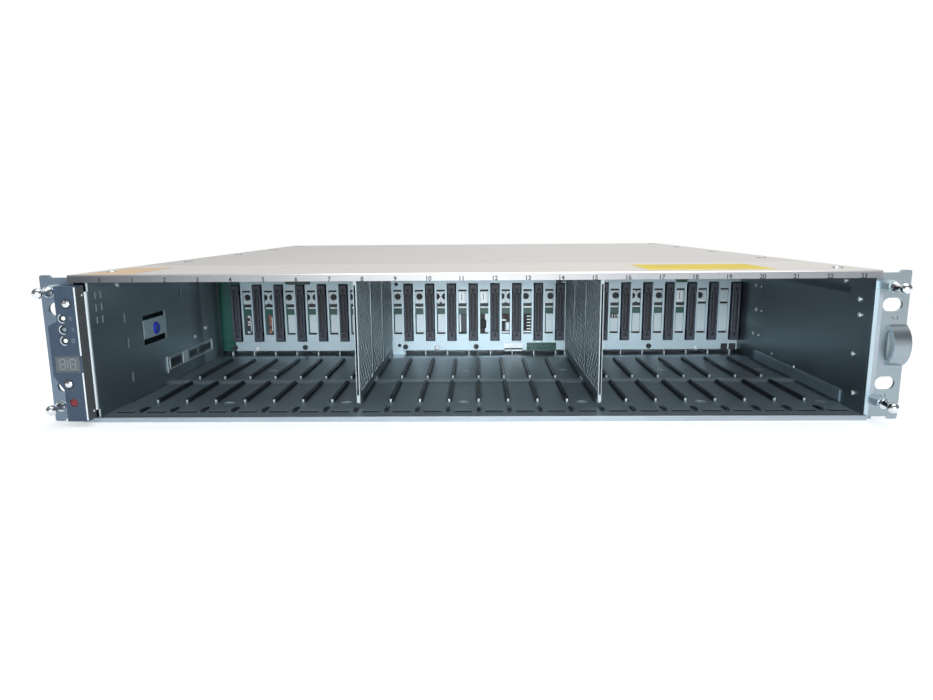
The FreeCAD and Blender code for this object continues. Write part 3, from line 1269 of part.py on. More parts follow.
make_tray()
make_covers()
make_cover_screws()
make_floor_guide()
make_ceiling_guide()
make_divider("divider_left", 1)
make_divider("divider_right", 2)
make_inner_wall()
make_side_guides()
make_wall_rivets()
make_release()
make_midplane()
make_drive_connectors()
make_module_plugs()
make_midplane_screws()
make_ear("left_ear", -1)
make_finger_loop(make_ear("right_ear", 1))
make_studs()
make_panel()
make_panel_parts()
make_bay_frame()
make_supply("left", -1)
make_supply("right", 1)
make_module("lower", "wall")
make_module("upper", "(shelf_height + wall)")

doc.recompute()
faults = [item.Label for item in doc.Objects if {"Invalid", "Error"} & set(item.State)]
for item in nodes:
    if item.Shape.isNull() or not item.Shape.isValid():
        faults.append(item.Label)
if faults:
    raise RuntimeError(f"failed: {sorted(set(faults))}")

os.makedirs("parts", exist_ok=True)
for item in nodes:
    item.Shape.exportStep(f"parts/{item.Label}.step")
print(f"wrote {len(nodes)} sub-parts")
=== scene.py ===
# %% [markdown]
# # A two-unit disk shelf enclosure
# The shelf is a folded sheet-metal box, open at the front, that holds upright 2.5-inch drives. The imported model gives
# every rigid piece its place and size. This lesson dresses it: metal, moulded plastic and circuit board, and the fine
# pieces that a solid model leaves plain, such as perforations, contacts, printed numbers and parts on the boards.

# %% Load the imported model
import bpy
import bmesh
import json
import math
import random
from mathutils import Matrix, Vector

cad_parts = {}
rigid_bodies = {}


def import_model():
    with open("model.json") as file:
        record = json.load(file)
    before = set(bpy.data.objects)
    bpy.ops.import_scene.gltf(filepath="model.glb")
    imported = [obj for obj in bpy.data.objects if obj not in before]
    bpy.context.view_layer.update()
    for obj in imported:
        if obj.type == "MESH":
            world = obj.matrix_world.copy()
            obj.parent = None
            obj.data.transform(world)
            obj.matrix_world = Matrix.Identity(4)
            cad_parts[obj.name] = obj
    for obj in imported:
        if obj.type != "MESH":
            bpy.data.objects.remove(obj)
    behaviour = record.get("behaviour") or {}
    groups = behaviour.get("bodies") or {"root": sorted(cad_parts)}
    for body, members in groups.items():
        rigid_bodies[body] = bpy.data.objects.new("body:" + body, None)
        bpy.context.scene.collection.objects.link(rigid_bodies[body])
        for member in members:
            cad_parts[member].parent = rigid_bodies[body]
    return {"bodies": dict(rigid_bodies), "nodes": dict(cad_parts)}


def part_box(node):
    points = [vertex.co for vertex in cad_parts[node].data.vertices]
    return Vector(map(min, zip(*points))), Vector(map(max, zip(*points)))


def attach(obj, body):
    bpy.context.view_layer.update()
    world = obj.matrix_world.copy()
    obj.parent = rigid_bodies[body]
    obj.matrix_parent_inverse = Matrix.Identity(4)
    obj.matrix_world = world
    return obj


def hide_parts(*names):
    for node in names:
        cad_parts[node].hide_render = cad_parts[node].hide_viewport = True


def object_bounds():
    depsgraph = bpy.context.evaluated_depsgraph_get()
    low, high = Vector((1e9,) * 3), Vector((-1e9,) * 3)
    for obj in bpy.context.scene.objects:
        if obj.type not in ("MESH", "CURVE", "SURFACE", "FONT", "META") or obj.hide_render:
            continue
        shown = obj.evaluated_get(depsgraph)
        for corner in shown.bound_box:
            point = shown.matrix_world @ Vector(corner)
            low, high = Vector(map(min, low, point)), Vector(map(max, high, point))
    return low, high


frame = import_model()
plain_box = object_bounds()
scene = bpy.context.scene
NODES = frame["nodes"]
MM = 0.001


def show(name, data):
    """A new object in the scene that holds the data."""
    obj = bpy.data.objects.new(name, data)
    scene.collection.objects.link(obj)
    return obj


print("nodes:", len(NODES), "bodies:", len(frame["bodies"]))

# %% [markdown]
# ## Camera
# A wide lens stands low and close, a hand's breadth above the top cover. Its place and its three small turns are given
# as plain numbers, so the picture keeps the same view whatever else changes.

# %% Make the camera
CAMERA_PLACE = Vector((3.845, -387.62, 111.75)) * MM
YAW, PITCH, ROLL = -0.01731, 0.18202, -0.00757
LENS = 26.85

forward = Vector((math.sin(YAW) * math.cos(PITCH), math.cos(YAW) * math.cos(PITCH), -math.sin(PITCH)))
right = Vector((math.cos(YAW), -math.sin(YAW), 0))
up = right.cross(forward)
level_right = right * math.cos(ROLL) + up * math.sin(ROLL)
level_up = up * math.cos(ROLL) - right * math.sin(ROLL)
turn = Matrix((level_right, level_up, -forward)).transposed()
camera_data = bpy.data.cameras.new("camera")
camera_data.lens = LENS
camera_data.sensor_width = 36
camera_data.clip_start = 0.01
camera = show("camera", camera_data)
camera.matrix_world = Matrix.Translation(CAMERA_PLACE) @ turn.to_4x4()
scene.camera = camera
print("camera at", [round(v, 4) for v in CAMERA_PLACE], "lens", LENS)

# %% [markdown]
# ## Node helpers
# Every finish is a small graph of nodes. A signal stands for a socket, so that sums on signals read like plain sums.
# A node's inputs are filled from a table. Both keep the graphs below short enough to read.

# %% Helpers for node graphs
class Signal:
    """A socket that takes part in sums. Each sum adds one node to the same graph."""

    def __init__(self, tree, socket):
        self.tree, self.socket = tree, socket

    def math(self, operation, *others, clamp=False):
        values = dict(enumerate((self, *others)))
        return put(self.tree, "ShaderNodeMath", values, operation=operation, use_clamp=clamp)[0]

    def __add__(self, other):
        return self.math("ADD", other)

    def __sub__(self, other):
        return self.math("SUBTRACT", other)

    def __mul__(self, other):
        return self.math("MULTIPLY", other)

    def __truediv__(self, other):
        return self.math("DIVIDE", other)

    def __abs__(self):
        return self.math("ABSOLUTE")

    def either(self, other):
        """The larger of two values."""
        return self.math("MAXIMUM", other)

    def ramp(self, low, high, to_low=0.0, to_high=1.0):
        """Maps one range to another and clamps it."""
        values = {"Value": self, "From Min": low, "From Max": high, "To Min": to_low, "To Max": to_high}
        return put(self.tree, "ShaderNodeMapRange", values)[0]


class Made:
    """A node. Its outputs are picked by name or number, and its inputs are filled from a table."""

    def __init__(self, tree, node):
        self.tree, self.node = tree, node

    def __getitem__(self, output):
        return Signal(self.tree, self.node.outputs[output])

    def fill(self, inputs):
        """Links each input that is given a signal. Anything else becomes the input's own value."""
        for name, value in inputs.items():
            if isinstance(value, Signal):
                self.tree.links.new(value.socket, self.node.inputs[name])
            else:
                self.node.inputs[name].default_value = value
        return self


def put(tree, kind, inputs=None, **settings):
    """Adds a node with its settings and fills its inputs."""
    node = tree.nodes.new(kind)
    for name, value in settings.items():
        setattr(node, name, value)
    return Made(tree, node).fill(inputs or {})


def nodes_of(tree, family="ShaderNode"):
    """A short way to add nodes of one family to one graph."""
    def add(kind, inputs=None, **settings):
        return put(tree, family + kind, inputs, **settings)
    return add


def empty_graph(owner):
    """The cleared node graph of a material or a world."""
    owner.use_nodes = True
    owner.node_tree.nodes.clear()
    return owner.node_tree


def new_group(name, kind, inputs, outputs):
    """Makes a node group with named sockets and returns it with its input and output nodes."""
    tree = bpy.data.node_groups.new(name, kind)
    for label, (socket, value) in inputs.items():
        made = tree.interface.new_socket(label, in_out="INPUT", socket_type="NodeSocket" + socket)
        if value is not None:
            made.default_value = value
    for label, socket in outputs.items():
        tree.interface.new_socket(label, in_out="OUTPUT", socket_type="NodeSocket" + socket)
    return tree, put(tree, "NodeGroupInput"), put(tree, "NodeGroupOutput")


def blend_colour(tree, share, *colours):
    """Mixes two colours by a share. A colour is a signal or three numbers."""
    a, b = [colour if isinstance(colour, Signal) else (*colour, 1) for colour in colours]
    return put(tree, "ShaderNodeMix", {0: share, 6: a, 7: b}, data_type="RGBA")[2]


print("helpers ready")

# %% [markdown]
# ## Studio
# The shelf stands on a plain pale floor in an even studio. Two soft boxes in front light the mouth of the shelf,
# and a broad one overhead lights the covers, which are spared from the front lamps so that they don't glare. The
# backdrop is white only to the camera and in reflections, so the metal mirrors a white room while no extra light falls
# on the object.

# %% Light the studio
scene.view_settings.view_transform = "Standard"
scene.world = bpy.data.worlds.new("studio")
sky = empty_graph(scene.world)
add = nodes_of(sky)
AMBIENT = 0.4
MIRRORED_SIDE, MIRRORED_FRONT, MIRRORED_BACK = 0.2, 1.0, 0.95
path = add("LightPath")
glossy = path["Is Glossy Ray"]
direction = add("SeparateXYZ", {0: add("TexCoord")["Generated"]})
toward = direction[1] * -1.0 + direction[0] * 0.1
mirrored = toward.either(direction[2]).ramp(0.76, 0.99, MIRRORED_SIDE, MIRRORED_FRONT)
mirrored = mirrored.either(direction[1].ramp(0.3, 0.7, 0.0, MIRRORED_BACK))
seen = path["Is Camera Ray"].either(path["Is Transmission Ray"])
white = add("Background", {"Color": (1, 1, 1, 1), "Strength": seen.either(glossy * mirrored)})
soft = add("Background", {"Color": (0.93, 0.97, 1, 1), "Strength": AMBIENT})
chosen = add("MixShader", {0: seen.either(glossy), 1: soft[0], 2: white[0]})
add("OutputWorld", {"Surface": chosen[0]})


def soft_box(name, place, target, size, power, colour):
    """A rectangular lamp that faces a point."""
    lamp = bpy.data.lights.new(name, "AREA")
    lamp.shape = "RECTANGLE"
    lamp.size, lamp.size_y = size
    lamp.energy, lamp.color = power, colour
    aim = (Vector(target) - Vector(place)).to_track_quat("-Z", "Y")
    obj = show(name, lamp)
    obj.matrix_world = Matrix.Translation(place) @ aim.to_matrix().to_4x4()
    return obj


front_lamps = [soft_box("front_box", (0.03, -0.95, 0.22), (0, 0.15, 0.04), (0.4, 0.24), 5.6, (0.9, 0.96, 1)),
        soft_box("near_box", (0.01, -0.43, 0.15), (0, 0.15, 0.03), (0.16, 0.1), 0.75, (0.9, 0.97, 1))]
spared = bpy.data.collections.new("spared_from_front_lamps")
for cover in ("top_cover_front", "top_cover_rear"):
    spared.objects.link(NODES[cover])
for member in spared.collection_objects:
    member.light_linking.link_state = "EXCLUDE"
for lamp_object in front_lamps:
    lamp_object.light_linking.receiver_collection = spared
soft_box("top_box", (0.15, 0.25, 1.5), (0, 0.2, 0.08), (1.6, 1.2), 11.0, (1, 0.985, 0.96))

# %% The floor
FLOOR_GAP = 0.2 * MM
NEAR_GLOW, FAR_GLOW = 0.42, 1.0
floor_height = plain_box[0][2] - FLOOR_GAP
floor_mesh = bpy.data.meshes.new("studio_floor")
corners = [(-6, -4), (6, -4), (6, 8), (-6, 8)]
floor_mesh.from_pydata([(x, y, floor_height) for x, y in corners], [], [(0, 1, 2, 3)])
floor = show("studio_floor", floor_mesh)
floor_paint = bpy.data.materials.new("studio_floor")
graph = empty_graph(floor_paint)
add = nodes_of(graph)
spot = add("TexCoord")["Object"]
grain = add("TexNoise", {"Scale": 3.0, "Detail": 2.0, "Vector": spot})
paint = blend_colour(graph, grain[0], (0.86, 0.87, 0.88), (0.9, 0.91, 0.92))
matt = add("BsdfDiffuse", {"Color": paint})
path = add("LightPath")
seen = path["Is Camera Ray"].either(path["Is Glossy Ray"])
away = add("VectorMath", {0: spot, 1: (0, -0.2, 0)}, operation="ADD")
fade = add("VectorMath", {0: away[0]}, operation="LENGTH")["Value"].ramp(0.35, 0.9)
glow = add("Emission", {"Color": (1, 1, 1, 1), "Strength": seen * NEAR_GLOW})
both = add("AddShader", {0: matt[0], 1: glow[0]})
plain = add("Emission", {"Color": (1, 1, 1, 1), "Strength": FAR_GLOW})
mixed = add("MixShader", {0: fade * seen, 1: both[0], 2: plain[0]})
add("OutputMaterial", {"Surface": mixed[0]})
floor_mesh.materials.append(floor_paint)
print("floor at", round(floor_height / MM, 2), "mm")

# %% [markdown]
# ## Surface effects as groups
# Zinc-plated sheet is never one flat grey. Rolling leaves fine streaks, the plating leaves soft patches, and folded
# edges catch the light, which is painted here as a paler tone at the edges, a painted highlight. Each effect is one
# node group, built once and placed in every material with its own values.

# %% Group: rolled sheet
rolled, inside, outside = new_group(
    "rolled_sheet", "ShaderNodeTree",
    {"Vector": ("Vector", None), "Streak Scale": ("Float", 900.0), "Patch Scale": ("Float", 18.0),
     "Streaks": ("Float", 0.5), "Patches": ("Float", 0.5)},
    {"Shade": "Float", "Rough": "Float", "Height": "Float"})
add = nodes_of(rolled)
vector, patch_scale = inside["Vector"], inside["Patch Scale"]
lengthwise = add("Mapping", {"Vector": vector, "Scale": (0.03, 1.0, 1.0)})[0]
streaks = add("TexNoise", {"Vector": lengthwise, "Scale": inside["Streak Scale"], "Detail": 3.0,
        "Roughness": 0.6})[0]
patches = add("TexNoise", {"Vector": vector, "Scale": patch_scale, "Detail": 4.0, "Roughness": 0.55})[0]
flecks = add("TexVoronoi", {"Vector": vector, "Scale": patch_scale * 14.0}, feature="F1")
fleck = add("SeparateColor", {0: flecks["Color"]})[0]
wander = (streaks - 0.5) * inside["Streaks"] + (patches - 0.5) * inside["Patches"]
total = wander + (fleck - 0.5) * (inside["Patches"] * 0.12)
shade = total.math("ADD", 0.5, clamp=True)
outside.fill({"Shade": shade, "Rough": shade.ramp(0.2, 0.8, 0.85, 1.15), "Height": streaks})
print("group", rolled.name)

# %% Group: painted edge highlight and wear
edges, inside, outside = new_group(
    "edge_highlight_and_wear", "ShaderNodeTree",
    {"Radius": ("Float", 0.4 * MM), "Break Up": ("Float", 400.0), "Vector": ("Vector", None)},
    {"Mask": "Float"})
add = nodes_of(edges)
# The mask finds edges so that a paler tone can be painted there: a painted highlight, broken up by noise like rubbed
# wear.
rounded = add("Bevel", {"Radius": inside["Radius"]}, samples=4)
true_normal = add("NewGeometry")["True Normal"]
facing = add("VectorMath", {0: rounded[0], 1: true_normal}, operation="DOT_PRODUCT")["Value"]
rub = add("TexNoise", {"Vector": inside["Vector"], "Scale": inside["Break Up"], "Detail": 2.0})[0]
outside.fill({"Mask": facing.ramp(0.985, 0.86) * rub.ramp(0.35, 0.6, 0.35, 1.0)})
print("group", edges.name)

# %% Group: dust and handling marks
marks, inside, outside = new_group(
    "handling_marks", "ShaderNodeTree",
    {"Vector": ("Vector", None), "Scale": ("Float", 60.0), "Amount": ("Float", 0.5)},
    {"Dust": "Float", "Scratch": "Float"})
add = nodes_of(marks)
vector, amount = inside["Vector"], inside["Amount"]
cloud = add("TexNoise", {"Vector": vector, "Scale": inside["Scale"], "Detail": 6.0, "Roughness": 0.7})[0]
tilted = add("Mapping", {"Vector": vector, "Rotation": (0.3, 0.5, 0.7), "Scale": (1.0, 0.05, 1.0)})[0]
lines = add("TexVoronoi", {"Vector": tilted, "Scale": inside["Scale"] * 4.0}, feature="DISTANCE_TO_EDGE")
thin = lines["Distance"].ramp(0.02, 0.0)
outside.fill({"Dust": cloud.ramp(0.5, 0.8) * amount, "Scratch": thin * cloud.ramp(0.52, 0.62) * amount})
print("group", marks.name)

# %% [markdown]
# ## Finishes
# Plated sheet is a metal whose colour and roughness wander a little. Mouldings are not metal: they have a fine spark
# texture and paler edges, partly rubbed wear and partly a painted highlight. Two functions build these families, and
# each slot of the model then gets its own colour and values.

# %% The two families of finish
FINISHES = {}


def start_finish(name):
    """A new material with object coordinates and an empty principled shader."""
    FINISHES[name] = bpy.data.materials.new(name)
    tree = empty_graph(FINISHES[name])
    shader = put(tree, "ShaderNodeBsdfPrincipled")
    put(tree, "ShaderNodeOutputMaterial", {"Surface": shader[0]})
    return tree, put(tree, "ShaderNodeTexCoord")["Object"], shader


def place_group(tree, group, inputs):
    return put(tree, "ShaderNodeGroup", inputs, node_tree=group)


def end_finish(tree, place, shader, tone, edge, edge_radius, bump, depth, height, values):
    """Lays the paler edges, a painted highlight broken up like rubbed wear, over the tone and fills the shader."""
    if edge:
        rim = place_group(tree, edges, {"Radius": edge_radius, "Vector": place})
        tone = blend_colour(tree, rim["Mask"], tone, edge)
    relief = put(tree, "ShaderNodeBump", {"Strength": bump, "Distance": depth, "Height": height})
    shader.fill({"Base Color": tone, "Normal": relief[0], **values})


def sheet_metal(name, pale, dark, roughness=0.38, streaks=0.5, patches=0.7, streak_scale=900.0, edge=None,
        edge_radius=0.4 * MM, bump=0.05, metallic=1.0):
    """Rolled and plated sheet: a pale and a dark tone, streaks along X, dust, and folded edges painted paler as a
    highlight.
    """
    tree, place, shader = start_finish(name)
    skin = place_group(tree, rolled, {"Vector": place, "Streak Scale": streak_scale, "Streaks": streaks,
            "Patches": patches})
    wear = place_group(tree, marks, {"Vector": place, "Amount": 0.12})
    dusty = [0.4 * (a + b) + 0.06 for a, b in zip(pale, dark)]
    tone = blend_colour(tree, wear["Dust"], blend_colour(tree, skin["Shade"], dark, pale), dusty)
    tone = blend_colour(tree, wear["Scratch"] * 0.8, tone, [min(1.0, v * 1.35) for v in pale])
    rough = skin["Rough"] * roughness + wear["Dust"] * 0.3
    end_finish(tree, place, shader, tone, edge, edge_radius, bump, 0.05 * MM, skin["Height"],
            {"Roughness": rough, "Metallic": metallic})


def moulding(name, colour, roughness=0.5, grain_scale=2600.0, bump=0.25, edge=None, dust=0.15, coat=0.0, metallic=0.0):
    """Injection-moulded plastic or paint: a fine even texture, paler edges of rubbed wear and painted highlight, a
    little dust.
    """
    tree, place, shader = start_finish(name)
    fine = put(tree, "ShaderNodeTexNoise", {"Vector": place, "Scale": grain_scale, "Detail": 2.0})[0]
    broad = put(tree, "ShaderNodeTexNoise", {"Vector": place, "Scale": 35.0, "Detail": 3.0})[0]
    wear = place_group(tree, marks, {"Vector": place, "Amount": dust, "Scale": 90.0})["Dust"]
    tone = blend_colour(tree, broad, [v * 0.82 for v in colour], [min(1.0, v * 1.18 + 0.004) for v in colour])
    tone = blend_colour(tree, wear, tone, [min(1.0, v * 0.8 + 0.12) for v in colour])
    rough = fine * 0.12 + (roughness - 0.06) + wear * 0.35
    end_finish(tree, place, shader, tone, edge, 0.3 * MM, bump, 0.03 * MM, fine,
            {"Roughness": rough, "Metallic": metallic, "Coat Weight": coat})


print("families: sheet_metal, moulding")

# %% Colours of the sheet-metal slots
EDGE_PALE = (0.62, 0.72, 0.78)
sheet_metal("tray_steel", (0.46, 0.53, 0.58), (0.34, 0.4, 0.45), 0.36, edge=EDGE_PALE)
sheet_metal("lip_steel", (0.98, 0.99, 1.0), (0.84, 0.88, 0.92), 0.3, streaks=0.9, streak_scale=1500.0)
sheet_metal("cover_steel", (0.72, 0.7, 0.67), (0.6, 0.58, 0.56), 0.42, streaks=0.35, patches=1.0, metallic=0.7)
sheet_metal("screw_steel", (0.75, 0.78, 0.8), (0.5, 0.53, 0.56), 0.28)
sheet_metal("screw_dark", (0.05, 0.06, 0.07), (0.02, 0.025, 0.03), 0.45, metallic=0.6)
sheet_metal("divider_steel", (0.3, 0.36, 0.39), (0.19, 0.23, 0.25), 0.42, edge=EDGE_PALE, edge_radius=0.25 * MM)
sheet_metal("wall_zinc", (0.24, 0.32, 0.37), (0.16, 0.22, 0.26), 0.34, streaks=0.4, edge=(0.5, 0.6, 0.66), metallic=0.5)
sheet_metal("zinc", (0.56, 0.68, 0.73), (0.43, 0.54, 0.6), 0.44, streaks=0.4, metallic=0.6)
sheet_metal("ear_steel", (0.38, 0.44, 0.48), (0.28, 0.335, 0.37), 0.34, edge=EDGE_PALE)
# A darker copy of the ear steel: painted shade for the left ear.
sheet_metal("ear_painted_shade", (0.22, 0.29, 0.36), (0.15, 0.205, 0.265), 0.4, edge=(0.4, 0.5, 0.58))
sheet_metal("module_steel", (0.62, 0.65, 0.68), (0.5, 0.53, 0.56), 0.36)
sheet_metal("port_steel", (0.74, 0.76, 0.78), (0.6, 0.62, 0.65), 0.25)
sheet_metal("guide_slate", (0.3, 0.38, 0.43), (0.18, 0.235, 0.27), 0.42, streaks=0.3, edge=(0.5, 0.62, 0.68),
        edge_radius=0.35 * MM, metallic=0.4, bump=0.12)
print("sheet finishes:", len(FINISHES))

# %% Colours of the moulded slots
moulding("blue_plastic", (0.012, 0.03, 0.42), 0.42, coat=0.12, bump=0.05)
moulding("board_green", (0.012, 0.1, 0.075), 0.32, coat=0.3)
moulding("connector_slate", (0.045, 0.055, 0.08), 0.4, edge=(0.24, 0.29, 0.37))
moulding("panel_plastic", (0.026, 0.05, 0.086), 0.42, edge=(0.2, 0.27, 0.33))
moulding("light_plastic", (0.62, 0.72, 0.76), 0.15, coat=0.8, bump=0.02)
moulding("display_plastic", (0.16, 0.19, 0.22), 0.4)
moulding("window_plastic", (0.055, 0.07, 0.085), 0.12, coat=1.0, bump=0.02)
moulding("red_plastic", (0.16, 0.012, 0.016), 0.35, bump=0.1)
moulding("ribbon_plastic", (0.4, 0.42, 0.43), 0.5)
moulding("fan_plastic", (0.018, 0.018, 0.02), 0.45, edge=(0.06, 0.06, 0.065))
moulding("inlet_plastic", (0.02, 0.02, 0.022), 0.35, edge=(0.07, 0.07, 0.075))
moulding("lever_steel", (0.22, 0.24, 0.27), 0.4, edge=(0.5, 0.52, 0.55), metallic=0.3)
print("all finishes:", len(FINISHES))

# %% [markdown]
# The ball studs are nickel plated and polished, so they mirror the white room and the dark mouth of the shelf. Only a
# few soft streaks break the mirror.

# %% Polished studs
tree, place, shader = start_finish("stud_chrome")
haze = put(tree, "ShaderNodeTexNoise", {"Vector": place, "Scale": 260.0, "Detail": 3.0})[0]
shader.fill({"Base Color": blend_colour(tree, haze, (0.6, 0.64, 0.68), (0.84, 0.87, 0.9)),
        "Roughness": haze.ramp(0.3, 0.7, 0.05, 0.14), "Metallic": 1.0})

# %% Printed black and gilt contacts
moulding("print_black", (0.012, 0.014, 0.018), 0.6, bump=0.05, dust=0.0)
sheet_metal("contact_gold", (0.1, 0.09, 0.08), (0.05, 0.05, 0.055), 0.35)
sheet_metal("bright_tin", (0.86, 0.9, 0.92), (0.7, 0.75, 0.78), 0.35, metallic=0.3)
sheet_metal("pale_sheet", (0.66, 0.75, 0.79), (0.52, 0.6, 0.64), 0.4, metallic=0.3)
moulding("void_black", (0.006, 0.007, 0.009), 0.5, dust=0.05)
moulding("flange_grey", (0.085, 0.09, 0.095), 0.5, dust=0.2)
print("finishes:", sorted(FINISHES))

# %% [markdown]
# Some tones follow the shape, and most of them are painted light and shade. Beside each guide rib the floor carries a
# painted shadow; the rib tops are near-black, partly their own dark colour and partly painted shade, the rib sides get
# painted shade, and the front tips are pale. The cross ridge, the tops of the beads and the domes of the floor dimples
# carry painted highlights, the front slopes of the beads and the rims of the dimples painted shade. The bent front edge
# of a wall and the upward faces of a guide by the right wall carry painted highlights. Painted shade darkens the inner
# faces of the walls, the ends of the brow and the left of the covers, and the right wall carries a painted shadow band
# and soft painted highlights. Each tone is a mask made from the place and the slope of the surface, mixed over the
# finish that is there already.

# %% Painted light and shade that follow the shape
BAY_STEP, WALL_X = 18.2, 214.5


def surface_of(finish):
    """Place in mm and slope of the surface, as six signals, and a function that lays a colour over it by a mask."""
    tree = FINISHES[finish].node_tree
    add = nodes_of(tree)
    place = add("VectorMath", {0: add("TexCoord")["Object"], "Scale": 1 / MM}, operation="SCALE")[0]
    nodes = [add("SeparateXYZ", {0: source}) for source in (place, add("NewGeometry")["Normal"])]
    shader = next(node for node in tree.nodes if node.type == "BSDF_PRINCIPLED")

    def lay(mask, colour):
        below = Signal(tree, shader.inputs["Base Color"].links[0].from_socket)
        Made(tree, shader).fill({"Base Color": blend_colour(tree, mask, below, colour)})

    return *[node[axis] for node in nodes for axis in range(3)], lay


def make_vector(tree, x=0.0, y=0.0, z=0.0):
    return put(tree, "ShaderNodeCombineXYZ", {0: x, 1: y, 2: z})[0]


x, y, z, slope_x, slope_y, slope_z, lay = surface_of("guide_slate")
behind_beads, before_beads = y.ramp(27.0, 29.0), y.ramp(21.0, 20.0)
# Painted shadow: the floor beside each guide rib is darkened in a band.
rib_distance = ((x + WALL_X) / BAY_STEP).math("PINGPONG", 0.5) * BAY_STEP
rib_rows = (y.ramp(30, 32) * y.ramp(84, 82)).either(y.ramp(97, 99) * y.ramp(166, 164))
painted_rib_shadow = rib_distance.ramp(2.6, 1.5) * behind_beads * rib_rows
lay(painted_rib_shadow * 0.72, (0.02, 0.028, 0.036))
# Painted highlights on the top of the cross ridge and on the tops of the beads.
raised = z.ramp(2.6, 2.68) * z.ramp(2.8, 2.72)
lay(raised * y.ramp(79, 81) * y.ramp(94, 92) * 0.75, (0.5, 0.58, 0.62))
lay(raised * before_beads, (0.5, 0.58, 0.63))
# Painted shade on the front slopes of the beads.
lay(slope_y.ramp(-0.3, -0.5) * before_beads, (0.018, 0.025, 0.032))
# The rib tops are painted near-black, partly their own dark colour and partly painted shade; their sides get painted
# shade.
rib_side_shade = abs(slope_x).ramp(0.4, 0.6) * z.ramp(2.02, 2.1)
lay(z.ramp(2.8, 2.9).either(rib_side_shade), (0.012, 0.018, 0.024))
tip = slope_y.ramp(-0.4, -0.7) * z.ramp(2.2, 2.6) * behind_beads * z.ramp(5.0, 4.5)
lay(tip * 0.85, (0.62, 0.7, 0.74))
DIMPLE_STEP, FIRST_DIMPLE, DIMPLE_ROWS = 4 * BAY_STEP, 150.8, (29.4, 124.0)
dimple_x = (((x + FIRST_DIMPLE) / DIMPLE_STEP + 0.5).math("FRACT") - 0.5) * DIMPLE_STEP
dimple_y = abs(y - DIMPLE_ROWS[0]).math("MINIMUM", abs(y - DIMPLE_ROWS[1]))
tree = x.tree
reach = put(tree, "ShaderNodeVectorMath", {0: make_vector(tree, dimple_x, dimple_y)}, operation="LENGTH")["Value"]
# Painted highlight on the dome of each floor dimple.
dimple_highlight = reach.ramp(4.0, 3.0) * z.ramp(2.3, 2.1) * z.ramp(1.2, 1.3)
lay(dimple_highlight * 0.7, (0.5, 0.6, 0.64))
# Painted shade round the rim of each dimple.
dimple_rim_shade = reach.ramp(4.6, 4.2) * reach.ramp(3.6, 4.0) * z.ramp(2.3, 2.1)
lay(dimple_rim_shade * 0.6, (0.03, 0.04, 0.05))

x, y, z, slope_x, slope_y, slope_z, lay = surface_of("wall_zinc")
# Painted highlight on the bent front edge of the left wall.
lay(slope_y.ramp(-0.12, -0.4) * y.ramp(4.0, 2.0) * x.ramp(0, -1), (0.75, 0.84, 0.88))
# Painted shade darkens the inner face of the left wall, most towards the front, fading out near the top.
wall_face = slope_x.ramp(0.8, 0.95) * x.ramp(-210, -213)
lay(wall_face * y.ramp(150, 0, 0.1, 0.6) * z.ramp(76, 56), (0.04, 0.055, 0.065))
# Painted shade in two upright bands near the rear of the left wall.
hollow_shade = (y.ramp(132, 148) * y.ramp(157, 152)).either(y.ramp(176, 184) * y.ramp(196, 190))
lay(wall_face * hollow_shade * 0.6, (0.03, 0.04, 0.05))
lay(wall_face * y.ramp(152, 158) * y.ramp(182, 176) * 0.3, (0.42, 0.52, 0.6))
# Painted highlight on the upward faces of the guide edge low by the right wall.
guide_edge_highlight = slope_z.ramp(0.3, 0.6) * x.ramp(200, 210) * y.ramp(22, 24) * z.ramp(12, 14)
lay(guide_edge_highlight, (0.6, 0.7, 0.75))

x, y, z, slope_x, slope_y, slope_z, lay = surface_of("tray_steel")
# Painted shade darkens the inner face of the right wall, more towards the rear.
inside_wall = slope_x.ramp(-0.5, -0.9) * x.ramp(200, 221)
lay(inside_wall * y.ramp(0, 150, 0.22, 0.86), (0.05, 0.07, 0.085))
# Painted shadow: a dark band near the top of the right wall, sharp at its lower edge.
band_shadow = inside_wall * z.ramp(68.9, 69.4) * z.ramp(75, 72) * y.ramp(22, 24) * y.ramp(128, 118)
lay(band_shadow * 0.55, (0.03, 0.042, 0.05))
# Painted highlights: a soft horizontal band across the right wall and a faint one near its top.
soft_painted_highlight = inside_wall * abs(z - 31.0).ramp(12.0, 0.0) * y.ramp(50, 150)
lay(soft_painted_highlight * 0.2, (0.4, 0.52, 0.58))
top_painted_highlight = inside_wall * z.ramp(52, 68) * y.ramp(60, 110) * y.ramp(165, 140)
lay(top_painted_highlight * 0.12, (0.4, 0.52, 0.58))

x, y, z, slope_x, slope_y, slope_z, lay = surface_of("lip_steel")
cover_top = slope_z.ramp(0.6, 0.8) * z.ramp(84.0, 84.3)
lay(cover_top, (0.66, 0.63, 0.585))
# Painted shade darkens the top of the cover towards the left.
lay(cover_top * x.ramp(60, -200, 0.0, 0.3), (0.1, 0.1, 0.1))
# Painted shade darkens the front face of the brow towards both ends, most to the left.
brow_end_shade = x.ramp(-10, -214, 0.0, 0.85).either(x.ramp(5, 95, 0.0, 0.38)) + x.ramp(90, 215, 0.0, 0.26)
lay(slope_y.ramp(-0.6, -0.8) * z.ramp(79, 80) * brow_end_shade, (0.02, 0.035, 0.055))

x, *others, lay = surface_of("cover_steel")
# Painted shade darkens the covers towards the left.
lay(x.ramp(60, -200, 0.0, 0.25), (0.1, 0.1, 0.1))
print("tones laid on the guide plate, the walls, the brow and the covers")

# %% Give every node its finish
unknown = set()
for name, obj in NODES.items():
    for slot in obj.material_slots:
        label = slot.material.name.split(".")[0] if slot.material else ""
        if label in FINISHES:
            slot.material = FINISHES[label]
        else:
            unknown.add((name, label))
# The left ear gets the darker copy of the ear steel, as painted shade.
for slot in NODES["left_ear"].material_slots:
    slot.material = FINISHES["ear_painted_shade"]
print("nodes dressed:", len(NODES), "unknown slots:", sorted(unknown)[:8])

